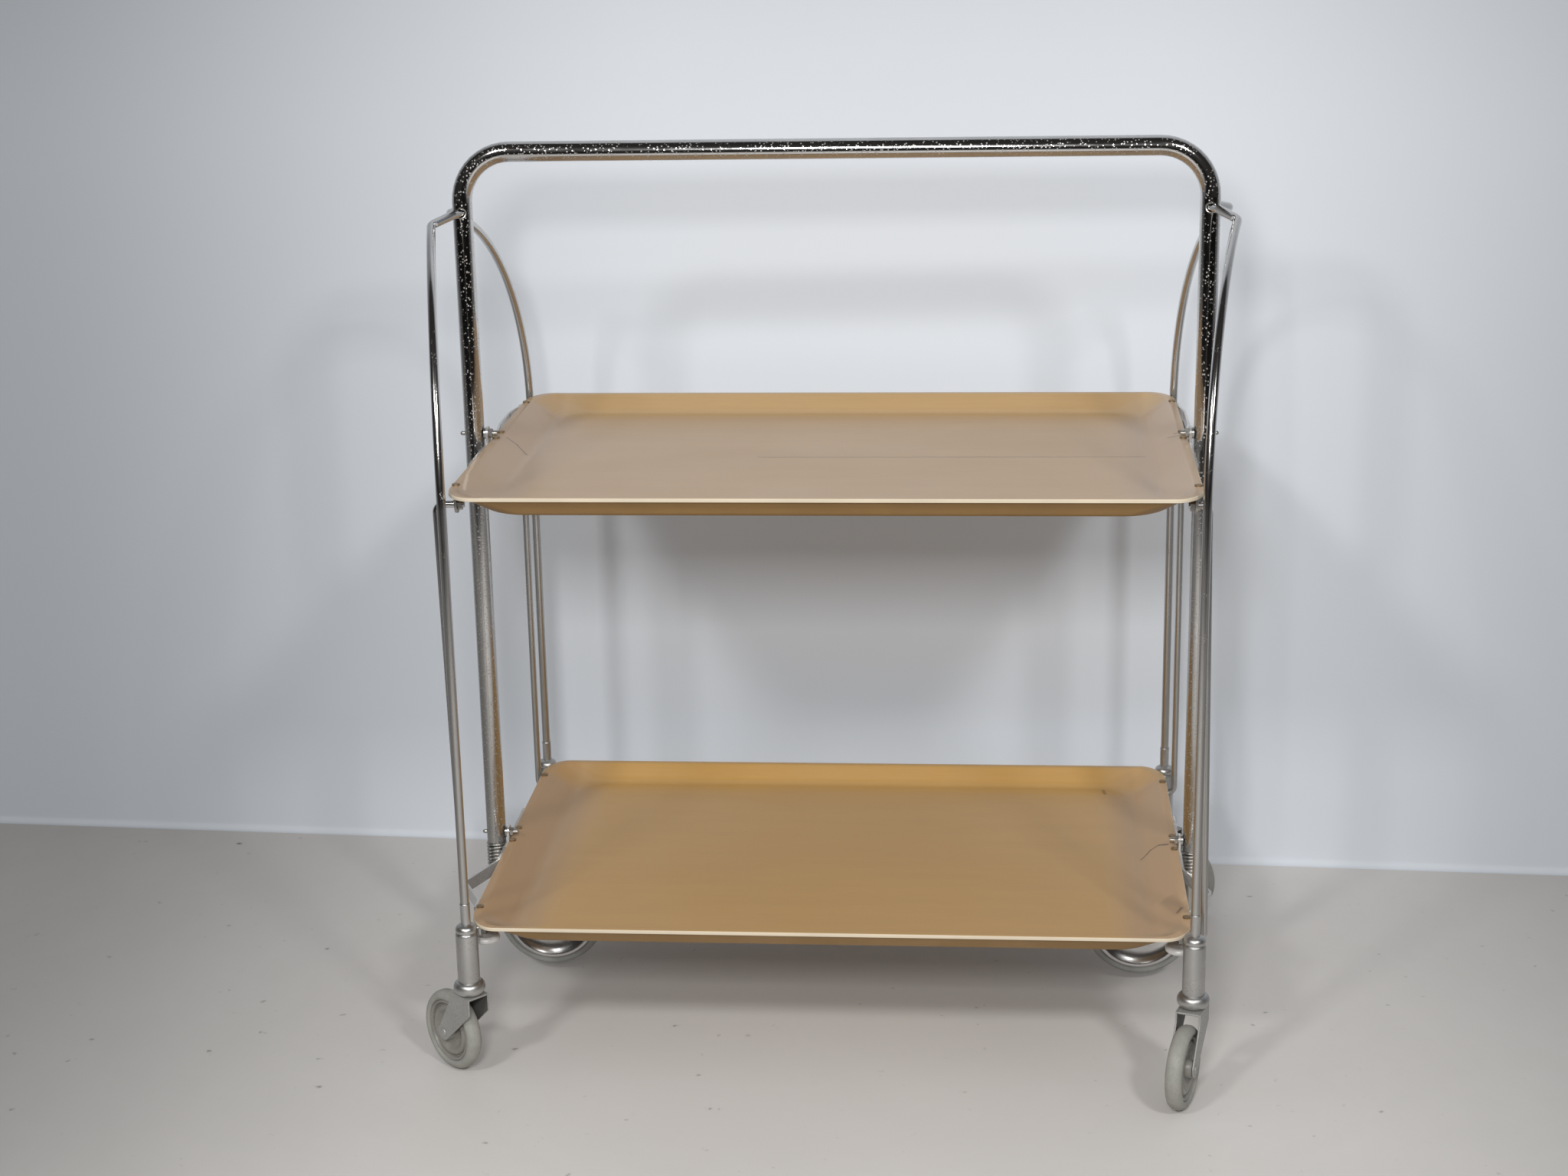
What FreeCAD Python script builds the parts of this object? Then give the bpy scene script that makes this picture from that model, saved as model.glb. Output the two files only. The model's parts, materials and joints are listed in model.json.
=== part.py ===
import FreeCAD
import Part
import Sketcher
import math
import os
import re

# A folding tea trolley: two trays hang on centre pivots in an inverted U handle of steel tube.
# Four bent legs hook into the handle near its top and stand on swivel casters, four link rods
# keep the trays parallel, and a big wheel hangs under each end of the lower tray.
# Millimetres, +Z up, the floor at Z = 0, the handle's plane at Y = 0 and the front at -Y.

V = FreeCAD.Vector

SIZES = {
    # handle tube
    "tube_dia": 17.0,
    "tube_wall": 1.2,
    "tube_clear": 12.7,
    "tube_top": 754.8,
    "tube_bottom": 134.5,
    "tube_bend": 42.0,
    "hook_height": 704.5,
    "hook_hole": 9.0,
    # trays
    "tray_length": 600.0,
    "tray_depth": 403.0,
    "tray_corner": 35.0,
    "end_lip": 7.0,
    "side_lip": 6.0,
    "lip_thick": 3.2,
    "end_slope": 25.0,
    "side_slope": 11.8,
    "dish_corner": 44.0,
    "dish_depth": 15.6,
    "sheet": 3.2,
    "upper_rim": 506.4,
    "lower_rim": 138.3,
    "upper_pivot": 513.3,
    "lower_pivot": 143.4,
    # pivot bolts
    "bolt_dia": 5.0,
    "bolt_fit": 0.1,
    "bolt_inset": 7.0,
    "bolt_stand": 14.3,
    "bolt_head": 8.0,
    "pivot_nut_flats": 7.0,
    "pivot_nut_thick": 3.0,
    "washer_dia": 10.0,
    # straps, lugs and rivets under the tray ends
    "strap_thick": 2.0,
    "strap_gap": 0.2,
    "strap_bend": 6.0,
    "upper_strap_tall": 9.0,
    "lower_strap_tall": 11.0,
    "strap_drop": 1.0,
    "ear_dia": 12.0,
    "tab_wide": 11.0,
    "tab_thick": 2.0,
    "knuckle_out": 20.0,
    "knuckle_place": 101.0,
    "rivet_dia": 3.6,
    "rivet_fit": 0.1,
    "rivet_head": 6.4,
    "rivet_rise": 1.2,
    "rivet_inset": 3.5,
    "corner_rivet_inset": 43.0,
    "lug_inset": 6.8,
    "lug_thick": 2.0,
    "lug_wide": 14.0,
    "foot_dia": 26.0,
    "foot_thick": 2.4,
    "foot_inset": 12.0,
    "foot_below": 1.4,
    # legs
    "leg_dia": 7.0,
    "leg_clear": 0.5,
    "leg_inset": 3.5,
    "leg_turn_height": 652.0,
    "elbow_out": 19.3,
    "elbow_stand": 37.0,
    "elbow_run": 10.0,
    "elbow_bend": 8.0,
    "hook_stand": 7.5,
    "hook_tip_dia": 5.0,
    "hook_tip_run": 9.0,
    "hook_depth": 4.0,
    "leg_foot": 128.0,
    # link rods
    "link_dia": 6.0,
    "link_clear": 8.0,
    "link_inset": 32.5,
    "link_drop": 20.0,
    "link_bend": 7.0,
    "link_pin_dia": 5.0,
    "link_fit": 0.3,
    "link_nut_flats": 8.0,
    "link_nut_thick": 3.2,
    # leg sleeves
    "ferrule_dia": 8.6,
    "ferrule_top": 159.0,
    "ferrule_foot": 139.5,
    "collar_dia": 11.0,
    "sleeve_dia": 18.6,
    "sleeve_top": 135.0,
    "sleeve_foot": 85.0,
    "sleeve_round": 2.5,
    "ring_dia": 24.5,
    "ring_foot": 78.0,
    "ring_round": 2.6,
    "stem_dia": 8.0,
    "stem_fit": 0.1,
    "stem_top": 124.0,
    "rod_fit": 0.05,
    # casters
    "caster_dia": 70.0,
    "caster_tread": 14.5,
    "caster_trail": 27.7,
    "caster_disc": 54.0,
    "disc_thick": 6.0,
    "disc_rim": 8.0,
    "boss_dia": 17.0,
    "boss_wide": 17.2,
    "fork_gap": 18.0,
    "fork_plate": 1.6,
    "fork_clear": 0.4,
    "fork_front": 12.0,
    "fork_back": 16.0,
    "fork_drop": 15.0,
    "fork_back_drop": 9.6,
    "fork_end": 7.0,
    "axle_dia": 6.0,
    "axle_fit": 0.1,
    "axle_head": 10.0,
    "axle_head_thick": 2.2,
    # big wheels and their sprung shafts
    "wheel_dia": 98.0,
    "wheel_wide": 16.0,
    "wheel_inset": 44.7,
    "wheel_back": 15.0,
    "wheel_height": 58.5,
    "tyre_deep": 7.0,
    "hub_wall": 2.0,
    "hub_boss": 18.0,
    "hub_web": 4.0,
    "hub_fit": 0.15,
    "shaft_dia": 9.0,
    "shaft_bend": 14.0,
    "plug_dia": 14.0,
    "plug_top": 196.0,
    "plug_foot": 130.0,
    "slot_travel": 6.0,
    "slot_fit": 0.2,
    "seat_dia": 18.0,
    "seat_top": 112.0,
    "seat_thick": 2.0,
    "spring_dia": 19.0,
    "spring_wire": 2.0,
    "spring_turns": 7.0,
    "spring_clear": 0.2,
    "clip_dia": 13.0,
    "clip_thick": 1.6,
}

# Distances from the middle planes, worked out from the trays and the clearances round them.
PLACES = {
    "tube_side": "tray_length / 2 + tube_clear",
    "bolt_inner": "tray_length / 2 - bolt_inset",
    "bolt_outer": "tube_side + bolt_stand",
    "lug_inner": "tray_length / 2 - lug_inset",
    "leg_side": "tray_length / 2 + leg_clear",
    "elbow_side": "tube_side + elbow_out",
    "link_side": "tray_length / 2 + link_clear",
    "wheel_side": "tube_side - wheel_inset",
    "leg_stand": "tray_depth / 2 - leg_inset",
    "link_stand": "tray_depth / 2 - link_inset",
    "corner_rivet": "tray_depth / 2 - corner_rivet_inset",
    "foot_side": "tray_length / 2 - foot_inset",
}

# Rivets along each tray end, as distances behind the pivot: near the pivot, then the corners.
RIVETS = {"upper": (34.0, 11.0), "lower": (21.0, -9.0)}

# How far each link rod's run stands outboard of its place, at its top and at its foot, where it is
# a little bent.
LEANS = {"front_left": (3.5, -1.5), "front_right": (-3.5, 2.0), "rear_left": (-3.5, -3.5), "rear_right": (0, 0)}

# Swivel heading of each caster's trail, in degrees from +X towards +Y.
HEADINGS = {"front_left": 137.0, "front_right": 251.0, "rear_left": 71.0, "rear_right": 317.0}

CORNERS = {"front_left": (-1, -1), "front_right": (1, -1), "rear_left": (-1, 1), "rear_right": (1, 1)}
SIDES = {"left": -1, "right": 1}

doc = FreeCAD.newDocument("TeaTrolley")
sheet = doc.addObject("Spreadsheet::Sheet", "Sizes")
named = {alias: str(size) for alias, size in SIZES.items()}
named.update({alias: "=" + expression for alias, expression in PLACES.items()})
for row, (alias, value) in enumerate(named.items(), 1):
    sheet.set("A%d" % row, alias)
    sheet.set("B%d" % row, value)
    sheet.setAlias("B%d" % row, alias)
doc.recompute()

nodes = []


def full(expression):
    """The expression with every size led by the sheet's name."""
    return re.sub(r"[a-z]\w*", lambda m: "Sizes." + m[0] if m[0] in named else m[0], str(expression))


def num(expression):
    """The expression's present value."""
    return float(sheet.evalExpression(full(expression)))


def point(x, y, z):
    return V(num(x), num(y), num(z))


def bind(item, **links):
    """Ties each named property of the item to an expression in the sizes."""
    for name, expression in links.items():
        item.setExpression(name.replace("__", "."), full(expression))


def place(item, x=0, y=0, z=0, turn=None):
    """Puts the item at bound coordinates, turned by a fixed rotation."""
    item.Placement = FreeCAD.Placement(point(x, y, z), turn or FreeCAD.Rotation())
    bind(item, Placement__Base__x=x, Placement__Base__y=y, Placement__Base__z=z)
    return item


def keep(item, label):
    """Marks the item as a finished piece of the trolley."""
    item.Label = label
    nodes.append(item)
    return item


def box(x, y, z, length, width, height):
    item = doc.addObject("Part::Box", "Block")
    bind(item, Length=length, Width=width, Height=height)
    return place(item, x, y, z)


ALONG = {"x": FreeCAD.Rotation(V(0, 1, 0), 90), "y": FreeCAD.Rotation(V(1, 0, 0), -90), "z": FreeCAD.Rotation()}


def cylinder(diameter, height, x=0, y=0, z=0, along="z"):
    """A cylinder that grows along the axis from its place."""
    item = doc.addObject("Part::Cylinder", "Round")
    bind(item, Radius="(%s) / 2" % diameter, Height=height)
    return place(item, x, y, z, ALONG[along])


def prism(flats, height, x, y, z):
    """A hexagon nut's blank that grows along X."""
    item = doc.addObject("Part::Prism", "Hexagon")
    item.Polygon = 6
    bind(item, Circumradius="(%s) / 2 / cos(30 deg)" % flats, Height=height)
    return place(item, x, y, z, ALONG["x"])


def fuse(*parts):
    item = doc.addObject("Part::MultiFuse", "Joined")
    item.Shapes = list(parts)
    return item


def cut(base, tool):
    item = doc.addObject("Part::Cut", "Trimmed")
    item.Base = base
    item.Tool = tool
    return item


def group(*parts):
    """Separate solids that make one node."""
    item = doc.addObject("Part::Compound", "Group")
    item.Links = list(parts)
    return item


def outline(sketch, corners):
    """Draws a closed polygon in the sketch, with every corner bound to two expressions."""
    count = len(corners)
    at = [V(num(x), num(y), 0) for x, y in corners]
    for i in range(count):
        sketch.addGeometry(Part.LineSegment(at[i], at[(i + 1) % count]))
    for i in range(count):
        sketch.addConstraint(Sketcher.Constraint("Coincident", i, 2, (i + 1) % count, 1))
    for i, corner in enumerate(corners):
        for way, expression in zip(("DistanceX", "DistanceY"), corner):
            index = sketch.addConstraint(Sketcher.Constraint(way, -1, 1, i, 1, num(expression)))
            sketch.setExpression("Constraints[%d]" % index, full(expression))


def origin_plane(body, role):
    return next(f for f in body.Origin.OriginFeatures if f.Role == role)


def new_sketch(body, role, height=0):
    """A sketch on one of the body's own planes, lifted by a bound height."""
    sketch = body.newObject("Sketcher::SketchObject", "Outline")
    sketch.AttachmentSupport = [(origin_plane(body, role), "")]
    sketch.MapMode = "FlatFace"
    sketch.setExpression("AttachmentOffset.Base.z", full(height))
    return sketch


def lathe(corners):
    """A body turned about its own Z axis from an outline of radius and height pairs."""
    body = doc.addObject("PartDesign::Body", "Turned")
    sketch = new_sketch(body, "XZ_Plane")
    outline(sketch, corners)
    turned = body.newObject("PartDesign::Revolution", "Turning")
    turned.Profile = sketch
    turned.ReferenceAxis = (sketch, ["V_Axis"])
    turned.Angle = 360
    body.Tip = turned
    return body


def bent_wire(points, bends):
    """Straight runs through the points, joined by tangent arcs of the given radii."""
    edges = []
    start = points[0]
    for before, corner, after, bend in zip(points, points[1:], points[2:], bends):
        back = (before - corner).normalize()
        ahead = (after - corner).normalize()
        half = back.getAngle(ahead) / 2
        reach = bend / math.tan(half)
        middle = corner + (back + ahead).normalize() * (bend / math.sin(half) - bend)
        enter = corner + back * reach
        edges.append(Part.LineSegment(start, enter).toShape())
        edges.append(Part.Arc(enter, middle, corner + ahead * reach).toShape())
        start = corner + ahead * reach
    edges.append(Part.LineSegment(start, points[-1]).toShape())
    return Part.Wire(edges)


def bent_rod(points, bends, diameter):
    """A round bar bent through the points."""
    path = bent_wire(points, bends)
    ring = Part.Circle(points[0], points[1] - points[0], diameter / 2)
    return path.makePipeShell([Part.Wire(ring.toShape())], True, False)


def bent_bar(points, bends, thick, tall):
    """A flat bar on edge, bent in plan through the points and standing on their height."""
    path = bent_wire(points, bends)
    aside = (points[1] - points[0]).cross(V(0, 0, 1)).normalize() * (thick / 2)
    rise = V(0, 0, tall)
    start = points[0]
    corners = [start + aside, start + aside + rise, start - aside + rise, start - aside, start + aside]
    return path.makePipeShell([Part.makePolygon(corners)], True, False)


def shaped(shape):
    """An object that holds a shape made from the sheet's sizes."""
    item = doc.addObject("Part::Feature", "Bent")
    item.Shape = shape
    return item


def build_handle():
    """Inverted U of steel tube, drilled for the leg hooks and the pivot bolts."""
    side = num("tube_side")
    corners = [V(-side, 0, num("tube_bottom")), V(-side, 0, num("tube_top")),
               V(side, 0, num("tube_top")), V(side, 0, num("tube_bottom"))]
    bends = [num("tube_bend")] * 2
    outside = bent_rod(corners, bends, num("tube_dia"))
    bore = bent_rod(corners, bends, num("tube_dia - 2 * tube_wall"))
    tube = shaped(outside.cut(bore))
    drills = []
    for sx in SIDES.values():
        hole = cylinder("hook_hole", "2 * tube_dia", "%d * tube_side" % sx, "-tube_dia", "hook_height", "y")
        drills.append(hole)
        for pivot in ("upper_pivot", "lower_pivot"):
            start = "%d * tube_side - tube_dia" % sx
            drills.append(cylinder("bolt_dia + bolt_fit", "2 * tube_dia", start, 0, pivot, "x"))
    keep(cut(tube, fuse(*drills)), "handle_frame")


def along_x(sx, inner, outer):
    """Start of a stretch between two distances from the centre plane, and its length."""
    return ("%s" % inner if sx > 0 else "-(%s)" % outer), "(%s) - (%s)" % (outer, inner)


def build_pivot_fasteners():
    """Bolts through the tube and the tray ears, their nuts inboard and washers between."""
    bolts = []
    nuts = []
    ear_face = "tray_length / 2 + strap_gap"
    for sx in SIDES.values():
        for pivot in ("upper_pivot", "lower_pivot"):
            start, length = along_x(sx, "bolt_inner", "bolt_outer")
            shank = cylinder("bolt_dia", length, start, 0, pivot, "x")
            start, length = along_x(sx, "tube_side + tube_dia / 2", "bolt_outer - 1")
            bolts.append(fuse(shank, cylinder("bolt_head", length, start, 0, pivot, "x")))
            start, length = along_x(sx, ear_face + " - 0.3 - pivot_nut_thick", ear_face + " - 0.3")
            blank = prism("pivot_nut_flats", length, start, 0, pivot)
            nuts.append(cut(blank, cylinder("bolt_dia", length, start, 0, pivot, "x")))
            start, length = along_x(sx, ear_face + " + strap_thick + 0.2", "tube_side - tube_dia / 2")
            disc = cylinder("washer_dia", length, start, 0, pivot, "x")
            nuts.append(cut(disc, cylinder("bolt_dia", length, start, 0, pivot, "x")))
    keep(group(*bolts), "pivot_bolts")
    keep(group(*nuts), "pivot_nuts")


def rounded(sketch, end, side, radius):
    """A rounded rectangle inside the tray's edge, by bound insets at its ends and along its sides."""
    half = ("(tray_length / 2 - (%s))" % end, "(tray_depth / 2 - (%s))" % side)
    x, y, r = num(half[0]), num(half[1]), num(radius)
    centres = [(x - r, y - r), (r - x, y - r), (r - x, r - y), (x - r, r - y)]
    for i, (cx, cy) in enumerate(centres):
        arc = Part.ArcOfCircle(Part.Circle(V(cx, cy, 0), V(0, 0, 1), r), i * math.pi / 2, (i + 1) * math.pi / 2)
        sketch.addGeometry(arc)
    for i in range(4):
        ends = sketch.Geometry[i].EndPoint, sketch.Geometry[(i + 1) % 4].StartPoint
        sketch.addGeometry(Part.LineSegment(*ends))
    for i in range(4):
        sketch.addConstraint(Sketcher.Constraint("Tangent", i, 2, 4 + i, 1))
        sketch.addConstraint(Sketcher.Constraint("Tangent", 4 + i, 2, (i + 1) % 4, 1))
        sketch.addConstraint(Sketcher.Constraint("Vertical" if i % 2 else "Horizontal", 4 + i))
    for i in range(3):
        sketch.addConstraint(Sketcher.Constraint("Equal", i, i + 1))
    sizes = [("Radius", (0, r), radius), ("DistanceY", (-1, 1, 4, 1, y), half[1]),
             ("DistanceX", (5, 1, -1, 1, x), half[0]), ("DistanceY", (6, 1, -1, 1, y), half[1]),
             ("DistanceX", (-1, 1, 7, 1, x), half[0])]
    for kind, items, expression in sizes:
        index = sketch.addConstraint(Sketcher.Constraint(kind, *items))
        sketch.setExpression("Constraints[%d]" % index, full(expression))


def rivet_spots(tray):
    """Plan places of one tray's rivets as expressions: two by each pivot and one at each corner."""
    rows = [str(y) for y in RIVETS[tray]] + ["corner_rivet", "-corner_rivet"]
    across = "(tray_length / 2 - rivet_inset)"
    return [("%d * %s" % (sx, across), y) for sx in SIDES.values() for y in rows]


def build_tray(tray):
    """A shallow dish, steeper along its sides than at its ends, with a flat lip holed for its rivets."""
    rim = tray + "_rim"
    body = doc.addObject("PartDesign::Body", "Tray")
    sketch = new_sketch(body, "XY_Plane", "%s - lip_thick" % rim)
    rounded(sketch, "0", "0", "tray_corner")
    lip = body.newObject("PartDesign::Pad", "Lip")
    lip.Profile = sketch
    bind(lip, Length="lip_thick")
    outline = ("end_lip", "side_lip", "tray_corner - end_lip / 2")
    bottom = ("end_lip + end_slope", "side_lip + side_slope", "dish_corner")
    slopes = [("PartDesign::AdditiveLoft", "Underside", "lip_thick / 2", "lip_thick", "dish_depth + sheet"),
              ("PartDesign::SubtractiveLoft", "Dish", "0", "0", "dish_depth")]
    for kind, label, outward, top, depth in slopes:
        sections = []
        for (end, side, corner), below in ((outline, top), (bottom, depth)):
            section = new_sketch(body, "XY_Plane", "%s - (%s)" % (rim, below))
            rounded(section, end, "%s - %s" % (side, outward), corner)
            sections.append(section)
        slope = body.newObject(kind, label)
        slope.Profile = sections[0]
        slope.Sections = [sections[1]]
        body.Tip = slope
    holes = [cylinder("rivet_dia + rivet_fit", "3 * lip_thick", x, y, "%s - 2 * lip_thick" % rim)
             for x, y in rivet_spots(tray)]
    keep(cut(body, fuse(*holes)), "%s_tray" % tray)


def strap_route(tray, sx):
    """Plan route of a strap's middle line along one tray end."""
    near = num("tray_length / 2 + strap_gap + strap_thick / 2")
    if tray == "upper":
        route = [(near, -78), (near, 40), (near + 4, 72), (near + 4, 122), (near, 146), (near, 156)]
        bends = [30, 30, 12, 12]
    else:
        out = near + num("knuckle_out")
        knuckle = -num("knuckle_place")
        route = [(near, 74), (near, -52), (out, knuckle), (near, knuckle - 40), (near, knuckle - 56)]
        bends = [10, num("strap_bend"), 10]
    return [(sx * x, y) for x, y in route], bends


def build_straps(tray):
    """Flat bars on edge beside the tray ends, with an ear for each pivot and tabs under the lip."""
    rim = num("%s_rim" % tray)
    tall = num("%s_strap_tall" % tray)
    floor = rim - num("strap_drop") - tall
    straps = []
    for sx in SIDES.values():
        route, bends = strap_route(tray, sx)
        bar = shaped(bent_bar([V(x, y, floor) for x, y in route], bends, num("strap_thick"), tall))
        start, length = along_x(sx, "tray_length / 2 + strap_gap", "tray_length / 2 + strap_gap + strap_thick")
        pivot = "%s_pivot" % tray
        ear = cylinder("ear_dia", length, start, 0, pivot, "x")
        base = "%s_rim - strap_drop - 2" % tray
        neck = box(start, "-ear_dia / 2", base, length, "ear_dia", "%s - (%s)" % (pivot, base))
        tabs = []
        start, length = along_x(sx, "tray_length / 2 - rivet_inset - 3", "tray_length / 2 + strap_gap + 1")
        for y in RIVETS[tray]:
            low = "%s_rim - lip_thick - tab_thick" % tray
            tabs.append(box(start, "%s - tab_wide / 2" % y, low, length, "tab_wide", "tab_thick"))
        solid = fuse(bar, ear, neck, *tabs)
        start, length = along_x(sx, "tray_length / 2 - 5", "tray_length / 2 + 10")
        drills = [cylinder("bolt_dia + 2 * bolt_fit", length, start, 0, pivot, "x")]
        across = "%d * (tray_length / 2 - rivet_inset)" % sx
        for y in RIVETS[tray]:
            low = "%s_rim - lip_thick - 2 * tab_thick" % tray
            drills.append(cylinder("rivet_dia + rivet_fit", "3 * tab_thick", across, y, low))
        straps.append(cut(solid, fuse(*drills)))
    keep(group(*straps), "%s_tray_straps" % tray)


def build_foot(sx, middle, low):
    """Round foot plate under a lower lug, joined to it by a short web."""
    disc = cylinder("foot_dia", "foot_thick", "%d * foot_side" % sx, middle, "%s - foot_below" % low)
    start, length = along_x(sx, "lug_inner", "lug_inner + lug_thick")
    web = box(start, "%s - lug_wide / 3" % middle, "%s - foot_below" % low, length, "2 * lug_wide / 3",
              "lug_wide / 3")
    return fuse(disc, web)


def build_lugs(tray):
    """Angle brackets under the four corners that hold the link pins."""
    lip = "%s_rim - lip_thick" % tray
    pin = "%s_pivot - link_drop" % tray
    lugs = []
    for sx, sy in CORNERS.values():
        start, length = along_x(sx, "lug_inner", "lug_inner + lug_thick")
        middle = "%d * link_stand" % sy
        plate = box(start, "%s - lug_wide / 2" % middle, pin, length, "lug_wide", "%s - (%s)" % (lip, pin))
        end = cylinder("lug_wide", length, start, middle, pin, "x")
        start_flange, flange = along_x(sx, "lug_inner", "tray_length / 2 - 1.5")
        near = "%d * (link_stand + corner_rivet) / 2 - 11" % sy
        flange = box(start_flange, near, "%s - tab_thick" % lip, flange, "22", "tab_thick")
        solid = fuse(plate, end, flange)
        if tray == "lower":
            solid = fuse(solid, build_foot(sx, middle, "%s - lug_wide / 2" % pin))
        pin_hole = cylinder("link_pin_dia + 2 * bolt_fit", "20", "%s - 8" % start, middle, pin, "x")
        across = "%d * (tray_length / 2 - rivet_inset)" % sx
        rivet_hole = cylinder("rivet_dia + rivet_fit", "3 * tab_thick", across, "%d * corner_rivet" % sy,
                              "%s - 2 * tab_thick" % lip)
        lugs.append(cut(solid, fuse(pin_hole, rivet_hole)))
    keep(group(*lugs), "%s_tray_lugs" % tray)


def build_rivets(tray):
    """Rivets down through the lip, headed above it and below the tab."""
    rim = "%s_rim" % tray
    rivets = []
    for x, y in rivet_spots(tray):
        low = "%s - lip_thick - tab_thick - rivet_rise" % rim
        shank = cylinder("rivet_dia", "lip_thick + tab_thick + 2 * rivet_rise", x, y, low)
        head = cylinder("rivet_head", "rivet_rise", x, y, rim)
        tail = cylinder("rivet_head - 1", "rivet_rise", x, y, low)
        rivets.append(fuse(shank, head, tail))
    keep(group(*rivets), "%s_tray_rivets" % tray)


def build_leg(corner, sx, sy):
    """A round bar up from the sleeve, swept inward in one long bend and hooked into the handle."""
    foot = point("%d * leg_side" % sx, "%d * leg_stand" % sy, "leg_foot")
    turn = V(foot.x, foot.y, num("leg_turn_height"))
    elbow = point("%d * elbow_side" % sx, "%d * elbow_stand" % sy, "hook_height")
    hook = point("%d * tube_side" % sx, "%d * hook_stand" % sy, "hook_height")
    inward = (hook - elbow).normalize()
    tip = elbow + inward * ((elbow.y - sy * num("hook_depth")) / -inward.y)
    shoulder = tip - inward * num("hook_tip_run")
    rise = elbow - turn
    half = (foot - turn).getAngle(rise) / 2
    sweep = (rise.Length - num("elbow_run")) * math.tan(half)
    bar = bent_rod([foot, turn, elbow, shoulder], [sweep, num("elbow_bend")], num("leg_dia"))
    nose = Part.makeCylinder(num("hook_tip_dia") / 2, num("hook_tip_run"), shoulder, inward)
    keep(shaped(bar.fuse(nose)), "leg_rod_%s" % corner)


def build_sleeve(corner, sx, sy):
    """Ferrule, collar and sleeve in one turned piece that holds the leg above and the stem below."""
    rod = "leg_dia / 2 + rod_fit"
    stem = "stem_dia / 2 + stem_fit"
    profile = [(rod, "ferrule_top"), ("ferrule_dia / 2", "ferrule_top"), ("ferrule_dia / 2", "ferrule_foot"),
               ("collar_dia / 2", "ferrule_foot - 0.8"), ("sleeve_dia / 2 - sleeve_round", "sleeve_top + 1.4"),
               ("sleeve_dia / 2 - 0.7", "sleeve_top + 0.2"), ("sleeve_dia / 2", "sleeve_top - 1.5"),
               ("sleeve_dia / 2", "sleeve_foot"), (stem, "sleeve_foot"), (stem, "leg_foot - 2"),
               (rod, "leg_foot - 2")]
    body = place(lathe(profile), "%d * leg_side" % sx, "%d * leg_stand" % sy)
    keep(body, "leg_sleeve_%s" % corner)


def build_ring(corner, sx, sy):
    """Round-edged bead under the sleeve."""
    stem = "stem_dia / 2 + stem_fit"
    edge = "ring_dia / 2"
    profile = [(stem, "sleeve_foot"), (edge + " - ring_round", "sleeve_foot"),
               (edge + " - 0.8", "sleeve_foot - 0.8"), (edge, "sleeve_foot - ring_round"),
               (edge, "ring_foot + ring_round"), (edge + " - 0.8", "ring_foot + 0.8"),
               (edge + " - ring_round", "ring_foot"), (stem, "ring_foot")]
    body = place(lathe(profile), "%d * leg_side" % sx, "%d * leg_stand" % sy)
    keep(body, "sleeve_ring_%s" % corner)


def caster_place(item, corner, forward=0, height=0, tilt=None):
    """Puts an item in a caster's frame: its swivel axis, turned to its heading."""
    sx, sy = CORNERS[corner]
    heading = HEADINGS[corner]
    turn = FreeCAD.Rotation(V(0, 0, 1), heading)
    if tilt:
        turn = turn * tilt
    x = "%d * leg_side + (%s) * cos(%s deg)" % (sx, forward, heading)
    y = "%d * leg_stand + (%s) * sin(%s deg)" % (sy, forward, heading)
    return place(item, x, y, height, turn)


def build_fork(corner):
    """Pressed channel with two cheeks and a stem, open at the front."""
    top = "(ring_foot - fork_clear)"
    wide = "(fork_gap + 2 * fork_plate)"
    axle = "caster_dia / 2"
    reach = "fork_end * 0.71"
    sketch = doc.addObject("Sketcher::SketchObject", "Cheek")
    outline(sketch, [("-fork_front", top), ("-fork_front", top + " - fork_drop"),
                     ("caster_trail - " + reach, axle + " - " + reach),
                     ("caster_trail + " + reach, axle + " + " + reach),
                     ("fork_back", top + " - fork_back_drop"), ("fork_back", top)])
    sketch.Placement = FreeCAD.Placement(V(0, 0, 0), FreeCAD.Rotation(V(1, 0, 0), 90))
    block = doc.addObject("Part::Extrusion", "Channel")
    block.Base = sketch
    block.DirMode = "Normal"
    block.Solid = True
    block.Symmetric = True
    bind(block, LengthFwd=wide)
    end = cylinder("2 * fork_end", wide, "caster_trail", "-%s / 2" % wide, axle, "y")
    inside = box("-2 * fork_front", "-fork_gap / 2", 0, "2 * fork_front + fork_back - fork_plate",
                 "fork_gap", top + " - fork_plate")
    behind = box(0, "-fork_gap / 2", 0, "caster_dia", "fork_gap", "caster_dia + 1")
    bore = cylinder("axle_dia + 2 * rod_fit", "2 * " + wide, "caster_trail", "-" + wide, axle, "y")
    channel = cut(fuse(block, end), fuse(inside, behind, bore))
    stem = cylinder("stem_dia", "stem_top - (%s - fork_plate)" % top, 0, 0, top + " - fork_plate")
    keep(caster_place(fuse(channel, stem), corner), "caster_fork_%s" % corner)


def build_caster_axle(corner):
    """Bolt across the fork with a round head on each cheek."""
    reach = "(fork_gap / 2 + fork_plate)"
    end = reach + " + axle_head_thick"
    profile = [(0, "-(%s)" % end), ("axle_head / 2 - 0.8", "-(%s)" % end),
               ("axle_head / 2", "-(%s) + 0.8" % end), ("axle_head / 2", "-" + reach),
               ("axle_dia / 2", "-" + reach), ("axle_dia / 2", reach), ("axle_head / 2", reach),
               ("axle_head / 2", "%s - 0.8" % end), ("axle_head / 2 - 0.8", end), (0, end)]
    body = caster_place(lathe(profile), corner, "caster_trail", "caster_dia / 2", ALONG["y"])
    keep(body, "caster_axle_%s" % corner)


def mirrored_profile(half):
    """A lathe outline from its upper half, given from the bore outward."""
    lower = [(radius, "-(%s)" % height) for radius, height in reversed(half)]
    return half + lower


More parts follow.
